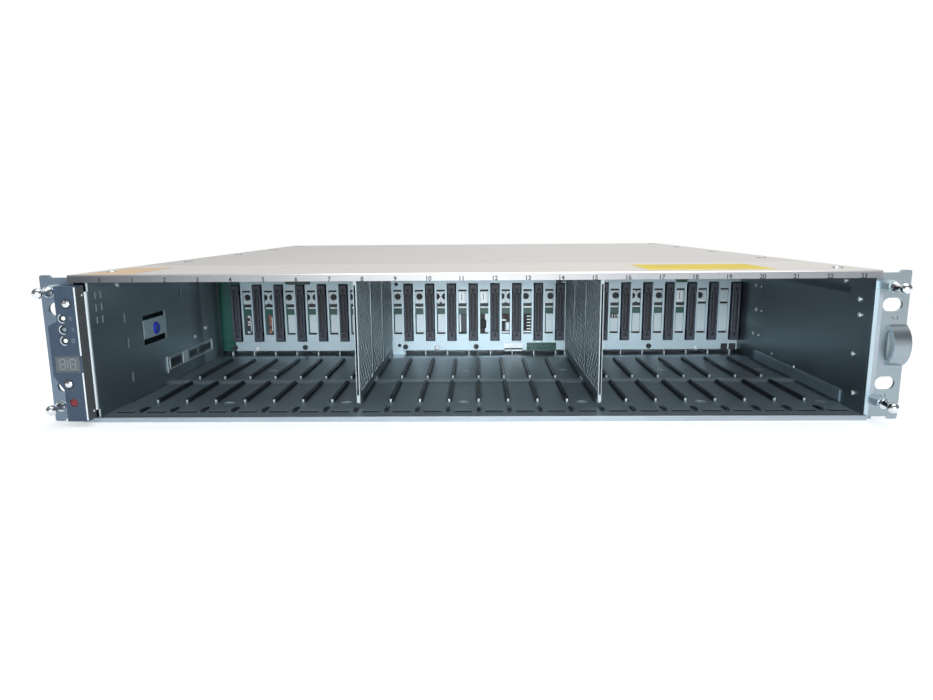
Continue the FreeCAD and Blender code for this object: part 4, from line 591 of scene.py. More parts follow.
# %% [markdown]
# ## Building with Geometry Nodes
# A shelf is full of things that repeat: holes, contacts, connectors, rivets. Each one is a node tree with named sizes.
# A carrier object runs the tree once, the result is kept as a plain mesh, and the modifier goes. The tree ends in
# Realize Instances and Set Material, so what is kept is real geometry with its finish.

# %% Helpers for node-built pieces
def finish_tree(tree, shape, outside, finish):
    """Ends a tree: real geometry, one finish, out."""
    real = put(tree, "GeometryNodeRealizeInstances", {0: shape})
    outside.fill({0: put(tree, "GeometryNodeSetMaterial", {"Geometry": real[0], "Material": finish})[0]})


def grow(name, tree, values):
    """Runs a node tree on a carrier object with the given inputs and returns the plain mesh object."""
    carrier = show(name + "_carrier", bpy.data.meshes.new(name + "_carrier"))
    modifier = carrier.modifiers.new("grow", "NODES")
    modifier.node_group = tree
    for item in tree.interface.items_tree:
        if item.item_type == "SOCKET" and item.in_out == "INPUT" and item.name in values:
            modifier[item.identifier] = values[item.name]
    bpy.context.view_layer.update()
    ready = carrier.evaluated_get(bpy.context.evaluated_depsgraph_get())
    mesh = bpy.data.meshes.new_from_object(ready)
    mesh.name = name
    carrier.modifiers.clear()
    bpy.data.objects.remove(carrier)
    return show(name, mesh)


def join_shapes(tree, *shapes):
    """Joins geometry signals."""
    joined = put(tree, "GeometryNodeJoinGeometry")
    for shape in reversed(shapes):
        joined.fill({0: shape})
    return joined[0]


def moved(tree, shape, place):
    """Moves a geometry signal."""
    return put(tree, "GeometryNodeTransform", {"Geometry": shape, "Translation": place})[0]


def tell(piece):
    """Prints how large a piece is."""
    piece.data.calc_loop_triangles()
    print(piece.name, len(piece.data.loop_triangles), "triangles")


print("node-building helpers ready")

# %% [markdown]
# ## Perforated dividers
# Two dividers part the drives into groups of eight. Each is a thin plate punched with a fine staggered field of
# hexagonal holes in three panels, stiffened by two pressed beads and a folded front edge. Hexagonal tiles with a hole
# in the middle fit each other edge to edge, so a field is one tile on a staggered grid of points. Plain bands cover
# the ragged border of every field. This is the piece where rules do most of the work.

# %% Tree: one field of hexagonal holes
ROW_STEP = 0.8660254
hex_field, inside, outside = new_group(
    "hexagonal_field", "GeometryNodeTree",
    {"Columns": ("Int", 12), "Rows": ("Int", 20), "Pitch": ("Float", 4 * MM), "Open Share": ("Float", 0.7),
     "Thickness": ("Float", 1 * MM)},
    {"Field": "Geometry"})
add = nodes_of(hex_field, "GeometryNode")
pitch, thickness = inside["Pitch"], inside["Thickness"]
half_thick = thickness * 0.5
tile = add("MeshCircle", {"Vertices": 6, "Radius": pitch * 0.57735}, fill_type="NGON")
inset = add("ExtrudeMesh", {"Mesh": tile[0], "Offset Scale": 0.0}, mode="FACES")
shrunk = add("ScaleElements", {"Geometry": inset["Mesh"], "Selection": inset["Top"],
        "Scale": inside["Open Share"]}, domain="FACE")
sunk = add("ExtrudeMesh", {"Mesh": shrunk[0], "Selection": inset["Top"],
        "Offset": make_vector(hex_field, z=thickness * -1.0)}, mode="FACES")
open_tile = add("DeleteGeometry", {"Geometry": sunk["Mesh"], "Selection": sunk["Top"]}, domain="FACE")
front = moved(hex_field, open_tile[0], make_vector(hex_field, z=half_thick))
ring = add("DeleteGeometry", {"Geometry": shrunk[0], "Selection": inset["Top"]}, domain="FACE")
back = add("FlipFaces", {"Mesh": ring[0]})[0]
back = moved(hex_field, back, make_vector(hex_field, z=half_thick * -1.0))
tile_shape = add("Transform", {"Geometry": join_shapes(hex_field, front, back),
        "Rotation": (0, 0, math.radians(30))})[0]
row = add("MeshLine", {"Count": inside["Columns"], "Offset": make_vector(hex_field, x=pitch)})
column = add("MeshLine", {"Count": inside["Rows"], "Offset": make_vector(hex_field, y=pitch * ROW_STEP)})
odd = add("InputIndex")[0].math("MODULO", 2.0)
staggered = add("SetPosition", {"Geometry": column[0],
        "Offset": make_vector(hex_field, x=odd * (pitch * 0.5))})
rows = add("InstanceOnPoints", {"Points": staggered[0], "Instance": row[0]})
points = add("RealizeInstances", {0: rows[0]})
tiles = add("InstanceOnPoints", {"Points": points[0], "Instance": tile_shape})
finish_tree(hex_field, tiles[0], outside, FINISHES["divider_steel"])
print("tree", hex_field.name, "nodes", len(hex_field.nodes))

# %% Plain bands, beads and the folded edge
def box_of(node):
    """The two corners of a node's box in mm. All shapes below are built in mm, and keep turns them into metres."""
    return [Vector(corner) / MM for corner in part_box(node)]


def brick(shape, middle, size, turn=0.0, soften=0.0):
    """Adds a box round a middle, turned about Y, with its edges softened."""
    place = Matrix.Translation(middle) @ Matrix.Rotation(turn, 4, "Y") @ Matrix.Diagonal((*size, 1))
    made = bmesh.ops.create_cube(shape, size=1.0, matrix=place)
    if soften:
        edges_here = list({edge for vert in made["verts"] for edge in vert.link_edges})
        bmesh.ops.bevel(shape, geom=edges_here, offset=soften, segments=2, affect="EDGES", profile=0.5)


def bar(shape, low, high, soften=0.0):
    """Adds a box between two corners."""
    brick(shape, (Vector(low) + Vector(high)) / 2, Vector(high) - Vector(low), soften=soften)


def keep(shape, name, finish, smooth=False):
    """Turns a shape in mm into a scene object with its finish."""
    mesh = bpy.data.meshes.new(name)
    shape.to_mesh(mesh)
    shape.free()
    mesh.transform(Matrix.Scale(MM, 4))
    mesh.materials.append(FINISHES[finish])
    if smooth:
        mesh.shade_smooth()
    return show(name, mesh)


def merge(name, *pieces):
    """Joins finished objects into the first one."""
    with bpy.context.temp_override(active_object=pieces[0], selected_editable_objects=list(pieces)):
        bpy.ops.object.join()
    pieces[0].name = pieces[0].data.name = name
    return pieces[0]


DIVIDER_SHEET = 1.1
HOLE_PITCH, HOLE_STRETCH, HOLE_SHARE = 4.3, 1.7, 0.66
BORDER, BEAD_WIDTH, BAND_PROUD, HEM_HALF = 5.0, 5.0, 0.02, 1.1


def make_divider(node):
    """The whole dressed divider in the box of its plain solid."""
    low, high = box_of(node)
    middle = low.x + HEM_HALF
    half = DIVIDER_SHEET / 2
    outer = half + BAND_PROUD
    field = (high.y - low.y) / 3
    shape, hem = bmesh.new(), bmesh.new()
    for edge in (low.z, high.z - BORDER):
        bar(shape, (middle - outer, low.y + 2, edge), (middle + outer, high.y, edge + BORDER))
    for number in range(4):
        start = low.y + number * field - (BEAD_WIDTH if number else 0)
        end = min(start + BEAD_WIDTH * (2 if 0 < number < 3 else 1), high.y)
        bar(shape, (middle - outer, start, low.z + BORDER), (middle + outer, end, high.z - BORDER))
    for crest in (low.y + field, low.y + 2 * field):
        bar(shape, (middle + half - 0.2, crest - 2, low.z + 4), (high.x, crest + 2, high.z - 4), 0.55)
        bar(shape, (middle - half - 0.3, crest + 2.6, low.z + 4), (middle - half + 0.2, crest + 4, high.z - 4), 0.2)
    bar(hem, (middle - HEM_HALF, low.y, low.z), (middle + HEM_HALF, low.y + 3, high.z), 0.45)
    parts = [keep(shape, node + "_bands", "divider_steel"), keep(hem, node + "_hem", "pale_sheet")]
    columns = int((high.z - low.z - 2 * BORDER) / (HOLE_PITCH * HOLE_STRETCH)) + 2
    rows_here = int((field - BEAD_WIDTH) / (HOLE_PITCH * ROW_STEP)) + 1
    height = (columns - 0.5) * HOLE_PITCH * HOLE_STRETCH
    width = (rows_here - 1) * HOLE_PITCH * ROW_STEP
    upright = Matrix(((0, 0, -1, 0), (0, 1, 0, 0), (HOLE_STRETCH, 0, 0, 0), (0, 0, 0, 1)))
    for number in range(3):
        panel = grow(f"{node}_field_{number}", hex_field, {
                "Columns": columns, "Rows": rows_here, "Pitch": HOLE_PITCH * MM,
                "Open Share": HOLE_SHARE, "Thickness": DIVIDER_SHEET * MM})
        start = low.y + (number + 0.5) * field - width / 2
        place = Vector((middle, start, (low.z + high.z - height) / 2)) * MM
        panel.data.transform(Matrix.Translation(place) @ upright)
        parts.append(panel)
    piece = merge(node + "_perforated", *parts)
    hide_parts(node)
    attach(piece, "enclosure")
    tell(piece)


for node in ("divider_left", "divider_right"):
    make_divider(node)

# %% [markdown]
# ## Drive connectors
# Each bay ends in a tall blind-mate connector. It has a dark shell with an end block at each end, a keyed notch in
# each block, a long mouth, and a tongue with a row of gilt contacts on each face. One connector is modelled with care,
# and a line of points carries it to all twenty-four bays.

# %% One connector shell
first_low, first_high = box_of("drive_connectors_left")
BAY_COUNT = 24
CONNECTOR_WIDTH, END_BLOCK = 6.8, 8.2
BAY_PITCH = (box_of("drive_connectors_right")[1].x - first_low.x - CONNECTOR_WIDTH) / (BAY_COUNT - 1)
depth, height = first_high.y - first_low.y, first_high.z - first_low.z
shape = bmesh.new()
half = CONNECTOR_WIDTH / 2
for side in (-1, 1):
    for outer, inner, front, back, foot, soften in ((0, 1.45, 0.5, depth, END_BLOCK * 0.6, 0.25),
            (0.55, 1.1, 0.05, 1.0, END_BLOCK, 0.15)):
        start, end = sorted((side * (half - outer), side * (half - inner)))
        bar(shape, (start, front, foot), (end, back, height - foot), soften)
for low_end in (0.0, height - END_BLOCK):
    bar(shape, (-half, 0.0, low_end), (half, depth, low_end + END_BLOCK), 0.5)
bar(shape, (-half + 0.5, depth - 2.0, 2), (half - 0.5, depth, height - 2))
bar(shape, (-0.55, 1.6, END_BLOCK - 1), (0.55, depth - 1, height - END_BLOCK + 1), 0.2)
shell = keep(shape, "connector_shell", "connector_slate")
print("connector shell faces", len(shell.data.polygons), "pitch", round(BAY_PITCH, 3), "mm")

# %% Keyed notches and contacts; notches and mouth drawn as black shapes of painted shade
shape = bmesh.new()
# Each keyed notch is a flat black shape in front of its end block, painted shade for its depth.
for centre, tip in ((END_BLOCK * 0.62, 1), (height - END_BLOCK * 0.62, -1)):
    corners = [(-1.7, -1.4), (1.7, -1.4), (0.95, 1.1), (0.0, 2.6), (-0.95, 1.1)][::-tip]
    shape.faces.new([shape.verts.new((x, -0.03, centre + z * tip)) for x, z in corners])
notch_shade = keep(shape, "connector_notches", "void_black")
notch_shade.data.flip_normals()
# Black boxes fill the mouth beside the tongue: painted shade for its depth.
shape = bmesh.new()
for side in (-1, 1):
    start, end = sorted((side * 0.75, side * (half - 1.45)))
    bar(shape, (start, 2.0, END_BLOCK), (end, depth - 1, height - END_BLOCK))
mouth_shade = keep(shape, "connector_channels", "void_black")
print("notch_shade", len(notch_shade.data.polygons))

row_tree, inside, outside = new_group(
    "row_of_copies", "GeometryNodeTree",
    {"Copy": ("Object", None), "Count": ("Int", 24), "Step": ("Vector", None), "Start": ("Vector", None)},
    {"Row": "Geometry"})
add = nodes_of(row_tree, "GeometryNode")
points = add("MeshLine", {"Count": inside["Count"], "Start Location": inside["Start"],
        "Offset": inside["Step"]})
copy = add("ObjectInfo", {"Object": inside["Copy"]}, transform_space="ORIGINAL")
copies = add("InstanceOnPoints", {"Points": points[0], "Instance": copy["Geometry"]})
outside.fill({0: add("RealizeInstances", {0: copies[0]})[0]})


def repeat(name, pattern, count, step, start):
    """Copies an object along a line, with step and start in mm, and removes the pattern object."""
    values = {"Copy": pattern, "Count": count, "Step": Vector(step) * MM, "Start": Vector(start) * MM}
    piece = grow(name, row_tree, values)
    for material in pattern.data.materials:
        if material.name not in piece.data.materials:
            piece.data.materials.append(material)
    bpy.data.objects.remove(pattern)
    return piece


CONTACTS = 34
shape = bmesh.new()
for side in (-1, 1):
    start, end = sorted((side * 0.5, side * 0.68))
    bar(shape, (start, 1.8, -0.25), (end, depth - 2.2, 0.25))
contact = keep(shape, "contact", "contact_gold")
reach = height - 2 * END_BLOCK - 3
contacts = repeat("contacts", contact, CONTACTS, (0, 0, reach / (CONTACTS - 1)), (0, 0, END_BLOCK + 1.5))
connector = merge("connector", shell, notch_shade, mouth_shade, contacts)
first_spot = (first_low.x + half, first_low.y, first_low.z)
connectors = repeat("drive_connectors", connector, BAY_COUNT, (BAY_PITCH, 0, 0), first_spot)
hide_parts("drive_connectors_left", "drive_connectors_middle", "drive_connectors_right")
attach(connectors, "enclosure")
tell(connectors)

# %% [markdown]
# ## Bay numbers
# The brow over the mouth carries the bay numbers, printed in black. They are text objects turned into meshes before
# they are put in place, a hair proud of the metal.

# %% Print the numbers on the brow
brow_low, brow_high = box_of("chassis_tray")
NUMBER_HEIGHT, BROW_HEIGHT, NUMBER_SHIFT = 2.5, 4.2, 4.97
bays_left = first_low.x + half - NUMBER_SHIFT - BAY_PITCH / 2
numbers = []
for number in range(BAY_COUNT):
    curve = bpy.data.curves.new(f"number_{number}", "FONT")
    curve.body = str(number)
    curve.size = NUMBER_HEIGHT * 1.4 * MM
    curve.offset = 0.07 * MM
    curve.align_x = curve.align_y = "CENTER"
    text = show(f"number_{number}", curve)
    bpy.context.view_layer.update()
    mesh = bpy.data.meshes.new_from_object(text.evaluated_get(bpy.context.evaluated_depsgraph_get()))
    bpy.data.objects.remove(text)
    place = Vector((bays_left + (number + 0.5) * BAY_PITCH, brow_low.y - 0.03, brow_high.z - BROW_HEIGHT / 2)) * MM
    mesh.transform(Matrix.Translation(place) @ Matrix.Rotation(math.radians(90), 4, "X"))
    mesh.materials.clear()
    mesh.materials.append(FINISHES["print_black"])
    numbers.append(show(f"number_{number}", mesh))
bay_numbers = merge("bay_numbers", *numbers)
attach(bay_numbers, "enclosure")
tell(bay_numbers)

# %% [markdown]
# ## What shows through the air windows
# Between two connectors a window in the zinc plate lets air through. Behind it stand the modules' folded front sheets
# and the board: a pale sheet with a round hole, a dark strip of painted shade for the gap, a thin bright edge, a green
# strip of board, then a plain grey block or a few electronic parts, with a black box of painted shade behind them all.
# A short table says which window shows what, so no two neighbours look alike.

# %% Helpers for many small boxes
class Shapes(dict):
    """One shape in mm per finish, made on first use."""

    def __missing__(self, finish):
        self[finish] = bmesh.new()
        return self[finish]

    def gather(self, name):
        """Turns all the shapes into one object."""
        return merge(name, *[keep(shape, f"{name}_{finish}", finish) for finish, shape in self.items()])


def skin(shape, rings, flip=1, closed=False, tip=None):
    """Quads between neighbouring rings of spots, and triangles to a tip. With flip -1 they face the other way."""
    rings = [[shape.verts.new(spot) for spot in ring] for ring in rings]
    for a, b in zip(rings, rings[1:] + (rings[:1] if closed else [])):
        for k in range(len(a)):
            shape.faces.new((a[k - 1], a[k], b[k], b[k - 1])[::flip])
    if tip:
        point = shape.verts.new(tip)
        for k in range(len(rings[-1])):
            shape.faces.new((rings[-1][k - 1], rings[-1][k], point)[::flip])


def around(count):
    """The cosine and sine of evenly spaced angles."""
    return [(math.cos(2 * math.pi * k / count), math.sin(2 * math.pi * k / count)) for k in range(count)]


def holed_panel(shape, left, right, low, high, front, back, centre, radius, sides=20):
    """A small sheet with a round hole that may run into its border."""
    rings = []
    for across, rise in around(sides):
        reach = min(((right if across > 0 else left) - centre[0]) / across if abs(across) > 1e-6 else 1000.0,
                ((high if rise > 0 else low) - centre[1]) / rise if abs(rise) > 1e-6 else 1000.0)
        inner = min(radius, reach)
        spots = [(centre[0] + across * d, y, centre[1] + rise * d)
                for d, y in ((reach, front), (inner, front), (inner, back))]
        rings.append([shape.verts.new(spot) for spot in spots])
    for here, there in zip(rings, rings[1:] + rings[:1]):
        for step in (0, 1):
            shape.faces.new((here[step], there[step], there[step + 1], here[step + 1]))


for extra, colour in (("part_orange", (0.5, 0.16, 0.05)), ("part_brown", (0.07, 0.03, 0.02))):
    moulding(extra, colour, 0.5, dust=0.05)
print("small finishes ready")

# %% Tables of the windows
# Each row is a box: finish, foot and head in mm, left and right as a share of the window, lead in mm, softening.
TOPS = {0: 0.3, 1: "web", 2: -0.8, 3: "web", 4: 0.6, 5: "web", 9: "cross", 10: "slot", 11: "slot", 12: "web",
        13: -1.4, 14: 1.1, 17: 0.8, 18: "web", 19: 0.6, 20: "slot", 21: -1.8, 22: "plain"}
HOLES = {"web": (-3.6, 3.4), "cross": (-3.1, 3.1), "slot": (0.6,), "plain": ()}
LOWS = {0: "parts", 1: "coil", 10: "stripe", 11: "drum", 12: "chips", 13: "comb", 17: "pins", 21: "tall", 22: "tall"}
# The first row is a dark strip of painted shade for the gap under the pale sheet.
UNDER_TOP = [("screw_dark", 23.5, 25.9, 0, 1, -0.3), ("bright_tin", 21.9, 23.2, 0.08, 1, 0.1, 0.2),
        ("board_green", 16.9, 21.7, 0, 1, -0.2)]
PARTS = {
    "block": [("pale_sheet", 1.2, 16.9, 0.16, 0.98, 0.0, 0.3)],
    "tall": [("pale_sheet", 1.2, 24.5, 0.1, 0.98, 0.0, 0.3), ("print_black", 24.6, 26.2, 0.2, 0.8, 0.2),
    ("bright_tin", 26.4, 28.0, 0.3, 0.62, 0.3, 0.2)],
    "stripe": [("connector_slate", 1.2, 16.9, 0.3, 0.98, 0.0, 0.6), ("bright_tin", 1.4, 16.7, 0.16, 0.34, 0.3, 0.3)],
    "comb": [("print_black", 2.4, 16.9, 0.05, 0.7),
    *[("bright_tin", 3.5 + step * 2.7, 4.3 + step * 2.7, 0.45, 0.85, 0.3) for step in range(5)],
    ("bright_tin", 1.0, 2.0, 0.1, 0.9, 0.2)],
    "pins": [("print_black", 13.2, 16.9, 0, 1, 0.1),
    *[("bright_tin", 13.6, 16.2, 0.28 + step * 0.26, 0.36 + step * 0.26, 0.4) for step in range(3)],
    ("pale_sheet", 1.2, 13.0, 0.1, 0.98, 0.0, 0.3)],
    "drum": [("pale_sheet", 1.2, 16.9, 0.6, 0.98), ("print_black", 4.5, 12.0, 0.1, 0.75, 0.4, 0.9)],
    "chips": [("part_brown", 12.6, 16.0, 0.1, 0.5, 0.2, 0.3), ("bright_tin", 10.9, 12.1, 0.1, 0.55, 0.2),
    ("print_black", 2.0, 10.4, 0.05, 0.4, 0.2), ("pale_sheet", 2.2, 10.0, 0.42, 0.95, 0.3, 0.9),
    ("bright_tin", 0.7, 1.7, 0.1, 0.95, 0.2)]}
LOOSE = {"coil": ["part_orange", "part_orange", "part_brown"],
        "parts": ["bright_tin", "part_brown", "print_black", "contact_gold"]}

# %% Fill the windows
plate_low, plate_high = box_of("midplane_stiffener")
board_front = box_of("midplane_board")[0].y
WINDOW_WIDTH, WINDOW_LOW, WINDOW_HIGH = 7.0, 18.4, 56.1
TOP_FOOT, TOP_HEAD, HOLE_LEVEL = WINDOW_LOW + 25.9, WINDOW_LOW + 36, WINDOW_LOW + 31.7
front_y, back_y = plate_high.y + 0.5, board_front - 0.3
shapes = Shapes()
dice = random.Random(7)
for number in range(BAY_COUNT - 1):
    middle = first_low.x + half + (number + 0.5) * BAY_PITCH
    left, right = middle - WINDOW_WIDTH / 2 - 0.6, middle + WINDOW_WIDTH / 2 + 0.6

    def block(finish, low, high, start=0.0, end=1.0, lead=0.0, soften=0.0):
        """A box in the window."""
        bar(shapes[finish], (left + start * (right - left), front_y - lead, WINDOW_LOW + low),
            (left + end * (right - left), back_y, WINDOW_LOW + high), soften)

    # A black box behind the window stands for the shade deep inside, as painted shade.
    bar(shapes["void_black"], (left, back_y, WINDOW_LOW - 1), (right, board_front - 0.05, WINDOW_HIGH + 1))
    top = TOPS.get(number, 0.2 * (number % 3) - 0.2)
    holes = HOLES.get(top, (top,))
    panel = shapes["pale_sheet"]
    edges_x = [left] + [middle + (a + b) / 2 for a, b in zip(holes, holes[1:])] + [right]
    for start, end, hole in zip(edges_x, edges_x[1:], holes or (None,)):
        if hole is None:
            bar(panel, (start, front_y, TOP_FOOT), (end, back_y, TOP_HEAD))
        else:
            spot = (min(max(middle + hole, start + 0.01), end - 0.01), HOLE_LEVEL)
            holed_panel(panel, start, end, TOP_FOOT, TOP_HEAD, front_y, back_y, spot, 1.0 if top == "slot" else 2.7)
    if top == "slot":
        block("bright_tin", 26.4, 35.4, 0.12, 0.75, 0.3, 0.15)
        block("guide_slate", 28.5, 34, 0.4, 0.46, 0.4)
    if top == "cross":
        for turn in (-0.55, 0.55):
            brick(shapes["bright_tin"], (middle, front_y + 0.2, HOLE_LEVEL), (0.7, 0.8, 8.5), turn)
    kind = LOWS.get(number, "block")
    for parts in ([] if kind == "tall" else UNDER_TOP):
        block(*parts)
    block("board_green", -1, 25.9, 0, 0.2 if number < 7 else 0.12, 0.25)
    for parts in PARTS.get(kind, []):
        block(*parts)
    if kind in LOOSE:
        block("connector_slate", 0.8, 16.7, 0.2, 0.98, -0.4)
        for step in range(7):
            tall, foot, spot = dice.uniform(1.2, 2.2), 1.2 + step * 2.2, dice.uniform(0.32, 0.5)
            block(dice.choice(LOOSE[kind]), foot, foot + tall, spot, spot + 0.26, 0.1, 0.25)
        block("bright_tin", 3, 15, 0.7, 0.78, 0.1)
window_parts = shapes.gather("window_parts")
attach(window_parts, "enclosure")
tell(window_parts)

# %% [markdown]
# ## On and under the zinc plate
# The plate carries bright rivets and small dark screws, a bare metal spot for a label, and cut-outs where strips of
# green board show. A black gap runs under it, and one thin tab per bay crosses the gap.

# %% Small parts of the plate
def round_head(shape, spot, radius, height, facing=-1, sides=20, steps=3):
    """A domed head that faces the front, or the rear when facing is +1."""
    x, y, z = spot
    rings = []
    for number in range(steps):
        angle = number / steps * math.pi / 2
        size, lift = radius * math.cos(angle), height * math.sin(angle)
        rings.append([(x + size * across, y + facing * lift, z + size * rise) for across, rise in around(sides)])
    skin(shape, rings, -facing, tip=(x, y + facing * height, z))


plate_face = plate_low.y
shapes = Shapes()
for finish, radius, height, spots in (
        ("bright_tin", 2.1, 0.9, ((-185.2, 6.2), (-31.3, 6.4), (187.8, 5.8))),
        ("screw_dark", 1.5, 0.5, ((-64.7, 60.8), (-63.1, 8.8), (80.5, 60.4), (-206.5, 6.2), (219.5, 6.5)))):
    for x, z in spots:
        round_head(shapes[finish], (x, plate_face, z), radius, height)
for finish, start, end, low, high in (
        ("bright_tin", 25.8, 41.3, 6.2, 10.6), ("void_black", 25.8, 41.3, 4.9, 6.1),
        ("bright_tin", 26.4, 40.8, 3.6, 4.8),
        ("board_green", 44.8, 69.8, 4.2, 10.8), ("board_green", -212.0, -202.6, 4.6, 11.0),
        ("print_black", 208.4, 213.8, 4.0, 9.4), ("print_black", 215.2, 220.8, 4.0, 9.4)):
    bar(shapes[finish], (start, plate_face - 0.25, low), (end, plate_face, high), 0.1)
for number, (x, z) in enumerate((x, z) for x in range(47, 69, 3) for z in (6.2, 8.8)):
    bar(shapes["contact_gold" if number % 3 else "print_black"], (x - 0.7, plate_face - 0.5, z - 0.45),
        (x + 0.7, plate_face - 0.2, z + 0.45), 0.08)
for start, end in ((-160.0, -135.9), (67.2, 75.0), (166.3, 179.0)):
    green = shapes["board_green"]
    outline = [(start, 66.0), (start + 2.6, 61.0), (end - 1.4, 61.0), (end, 66.0)]
    green.faces.new([green.verts.new((x, plate_face - 0.15, z)) for x, z in outline])
    for finish, x in (("contact_gold", start + 6), ("contact_gold", start + 8.2), ("part_brown", end - 5)):
        bar(shapes[finish], (x, plate_face - 0.6, 62.2), (x + 1.4, plate_face - 0.15, 64.4))
TAB_SHIFT, TAB_WIDTH = 1.1, 0.9
guide_foot = box_of("floor_guide_plate")[0].z
for number in range(BAY_COUNT):
    x = bays_left + (number + 0.5) * BAY_PITCH + TAB_SHIFT
    bar(shapes["pale_sheet"], (x - TAB_WIDTH / 2, plate_face - 4.6, guide_foot + 0.05),
        (x + TAB_WIDTH / 2, plate_face - 1.6, guide_foot + 3.6), 0.15)
plate_parts = shapes.gather("plate_parts")
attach(plate_parts, "enclosure")
tell(plate_parts)

# %% [markdown]
# ## Operator panel
# The display is a grey filter over two seven-segment digits. Each lit segment is a thin pale bar with pointed ends.
# The small marks beside the lights are plain printed shapes.

# %% Display digits
display_low, display_high = box_of("display_module")
window_low, window_high = box_of("display_window")
DIGIT_HEIGHT, DIGIT_WIDTH, DIGIT_SHIFT, STROKE = 5.6, 2.9, 2.9, 0.42
display_face = window_low.y - 0.04
digits = bmesh.new()


def segment(start, end):
    """A flat bar with pointed ends between two spots on the display."""
    along = (Vector(end) - Vector(start)).normalized()
    side = Vector((-along.y, along.x)) * STROKE / 2
    reach = along * STROKE / 2
    start, end = Vector(start) + along * 0.12, Vector(end) - along * 0.12
    spots = [start, start + reach + side, end - reach + side, end, end - reach - side, start + reach - side]
    digits.faces.new([digits.verts.new((spot.x, display_face, spot.y)) for spot in reversed(spots)])


middle_x, middle_z = (display_low.x + display_high.x) / 2, (display_low.z + display_high.z) / 2
for x in (middle_x - DIGIT_SHIFT, middle_x + DIGIT_SHIFT):
    left, right = x - DIGIT_WIDTH / 2, x + DIGIT_WIDTH / 2
    for end in (left, right):
        for level in (-1, 1):
            segment((end, middle_z), (end, middle_z + level * DIGIT_HEIGHT / 2))
    for level in (-1, 0, 1):
        segment((left, middle_z + level * DIGIT_HEIGHT / 2), (right, middle_z + level * DIGIT_HEIGHT / 2))
segment((middle_x, window_low.z + 1.6), (middle_x, window_high.z - 1.6))
moulding("segment_pale", (0.2, 0.24, 0.26), 0.4, dust=0.0)
display_digits = keep(digits, "display_digits", "segment_pale")
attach(display_digits, "enclosure")
tell(display_digits)

# %% [markdown]
# The lights sit in small dark cups, drawn as black discs of painted shade, each with a pale crescent of painted
# highlight on the left of its rim. The two screws have domed, polished heads in black rings of painted shade, and a
# thin painted highlight runs down the panel's right edge beside the grey side of the moulding.

# %% Lights, screws and edge line of the panel
def flat_ring(shape, spot, inner, outer, start=0.0, end=360.0, sides=24):
    """A flat disc, ring or part of a ring that faces the front; angles run from the right, upward."""
    x, y, z = spot
    steps = [math.radians(start + (end - start) * k / sides) for k in range(sides + 1)]
    if not inner:
        shape.faces.new([shape.verts.new((x + outer * math.cos(a), y, z + outer * math.sin(a))) for a in steps[:-1]])
        return
    pairs = [[shape.verts.new((x + r * math.cos(a), y, z + r * math.sin(a))) for r in (inner, outer)] for a in steps]
    for (a, b), (c, d) in zip(pairs, pairs[1:]):
        shape.faces.new((a, b, d, c))


def side_head(shape, spot, radius, height, toward, sides=16):
    """A low domed head on a side wall; toward is +1 or -1 along X."""
    x, y, z = spot
    rings = [[(x + toward * height * lift, y + radius * size * across, z + radius * size * rise)
            for across, rise in around(sides)] for size, lift in ((1.0, 0.0), (0.86, 0.55), (0.5, 0.9))]
    skin(shape, rings, toward, tip=(x + toward * height, y, z))


panel_low, panel_high = box_of("ops_panel_housing")
panel_face, panel_right = panel_low.y, panel_high.x
pipe_low, pipe_high = box_of("light_pipes")
moulding("light_on", (0.8, 0.86, 0.88), 0.25, coat=0.6, dust=0.0)
moulding("light_off", (0.16, 0.24, 0.25), 0.25, coat=0.6, dust=0.0)
shapes = Shapes()
LIGHT_STEP, MARK_SHIFT = 6.2, 4.6
light_x = (pipe_low.x + pipe_high.x) / 2
mark_x = light_x + MARK_SHIFT
face_y = panel_face - 0.02
for number in range(3):
    light_z = pipe_low.z + 1.5 + number * LIGHT_STEP
    # Painted shade: a black disc for the hollow of the cup; painted highlight: a pale crescent on the left of its rim.
    flat_ring(shapes["void_black"], (light_x, face_y, light_z), 0, 2.15)
    flat_ring(shapes["pale_sheet"], (light_x, face_y - 0.02, light_z), 2.15, 2.6, 110, 290)
    light = shapes["light_off" if number == 1 else "light_on"]
    round_head(light, (light_x + 0.45, face_y - 0.02, light_z + 0.1), 1.2, 0.35)
    flat_ring(shapes["segment_pale"], (mark_x, face_y, light_z), 0.8, 1.0, *((0, 360), (-70, 70), (20, 340))[number])
    tall = 0.5 if number else 1.3
    bar(shapes["segment_pale"], (mark_x - 0.1, face_y - 0.02, light_z - tall), (mark_x + 0.1, face_y, light_z + tall))
for x, z in ((-220.7, 69.4), (-223.9, 24.5)):
    # Painted shade: a black disc for the recess round each screw head.
    flat_ring(shapes["void_black"], (x, face_y, z), 0, 2.75)
    round_head(shapes["stud_chrome"], (x - 0.15, panel_face - 0.04, z), 2.2, 1.1)
# Painted highlight: thin bright strips down the panel's right edge.
for low, high in ((3.6, 30.9), (40.6, 78.3)):
    bar(shapes["bright_tin"], (panel_right - 0.75, panel_face - 0.06, low),
            (panel_right + 0.03, panel_face + 0.3, high), 0.05)
bar(shapes["flange_grey"], (panel_right - 0.02, panel_face + 0.35, 3.6), (panel_right + 0.05, -5.1, 78.3))
for z in (7.5, 73.5):
    side_head(shapes["bright_tin"], (panel_right + 0.05, panel_face + 6.5, z), 0.7, 0.3, 1)
bar(shapes["flange_grey"], (window_low.x - 0.3, panel_face - 0.05, window_low.z - 0.5),
    (window_high.x + 0.3, panel_face, window_low.z - 0.15))
panel_details = shapes.gather("panel_details")
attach(panel_details, "enclosure")
tell(panel_details)

# %% [markdown]
# ## Walls of the bays
# The left wall has pressed lances and slots that look black, because nothing lies behind them but a narrow dark gap:
# a black sheet of painted shade stands behind each, and a thin bright strip of painted highlight lies on one edge. A
# guide bracket is folded from the same sheet, with black patches of painted shade in its slots and small holes. Domed
# rivets hold both walls.

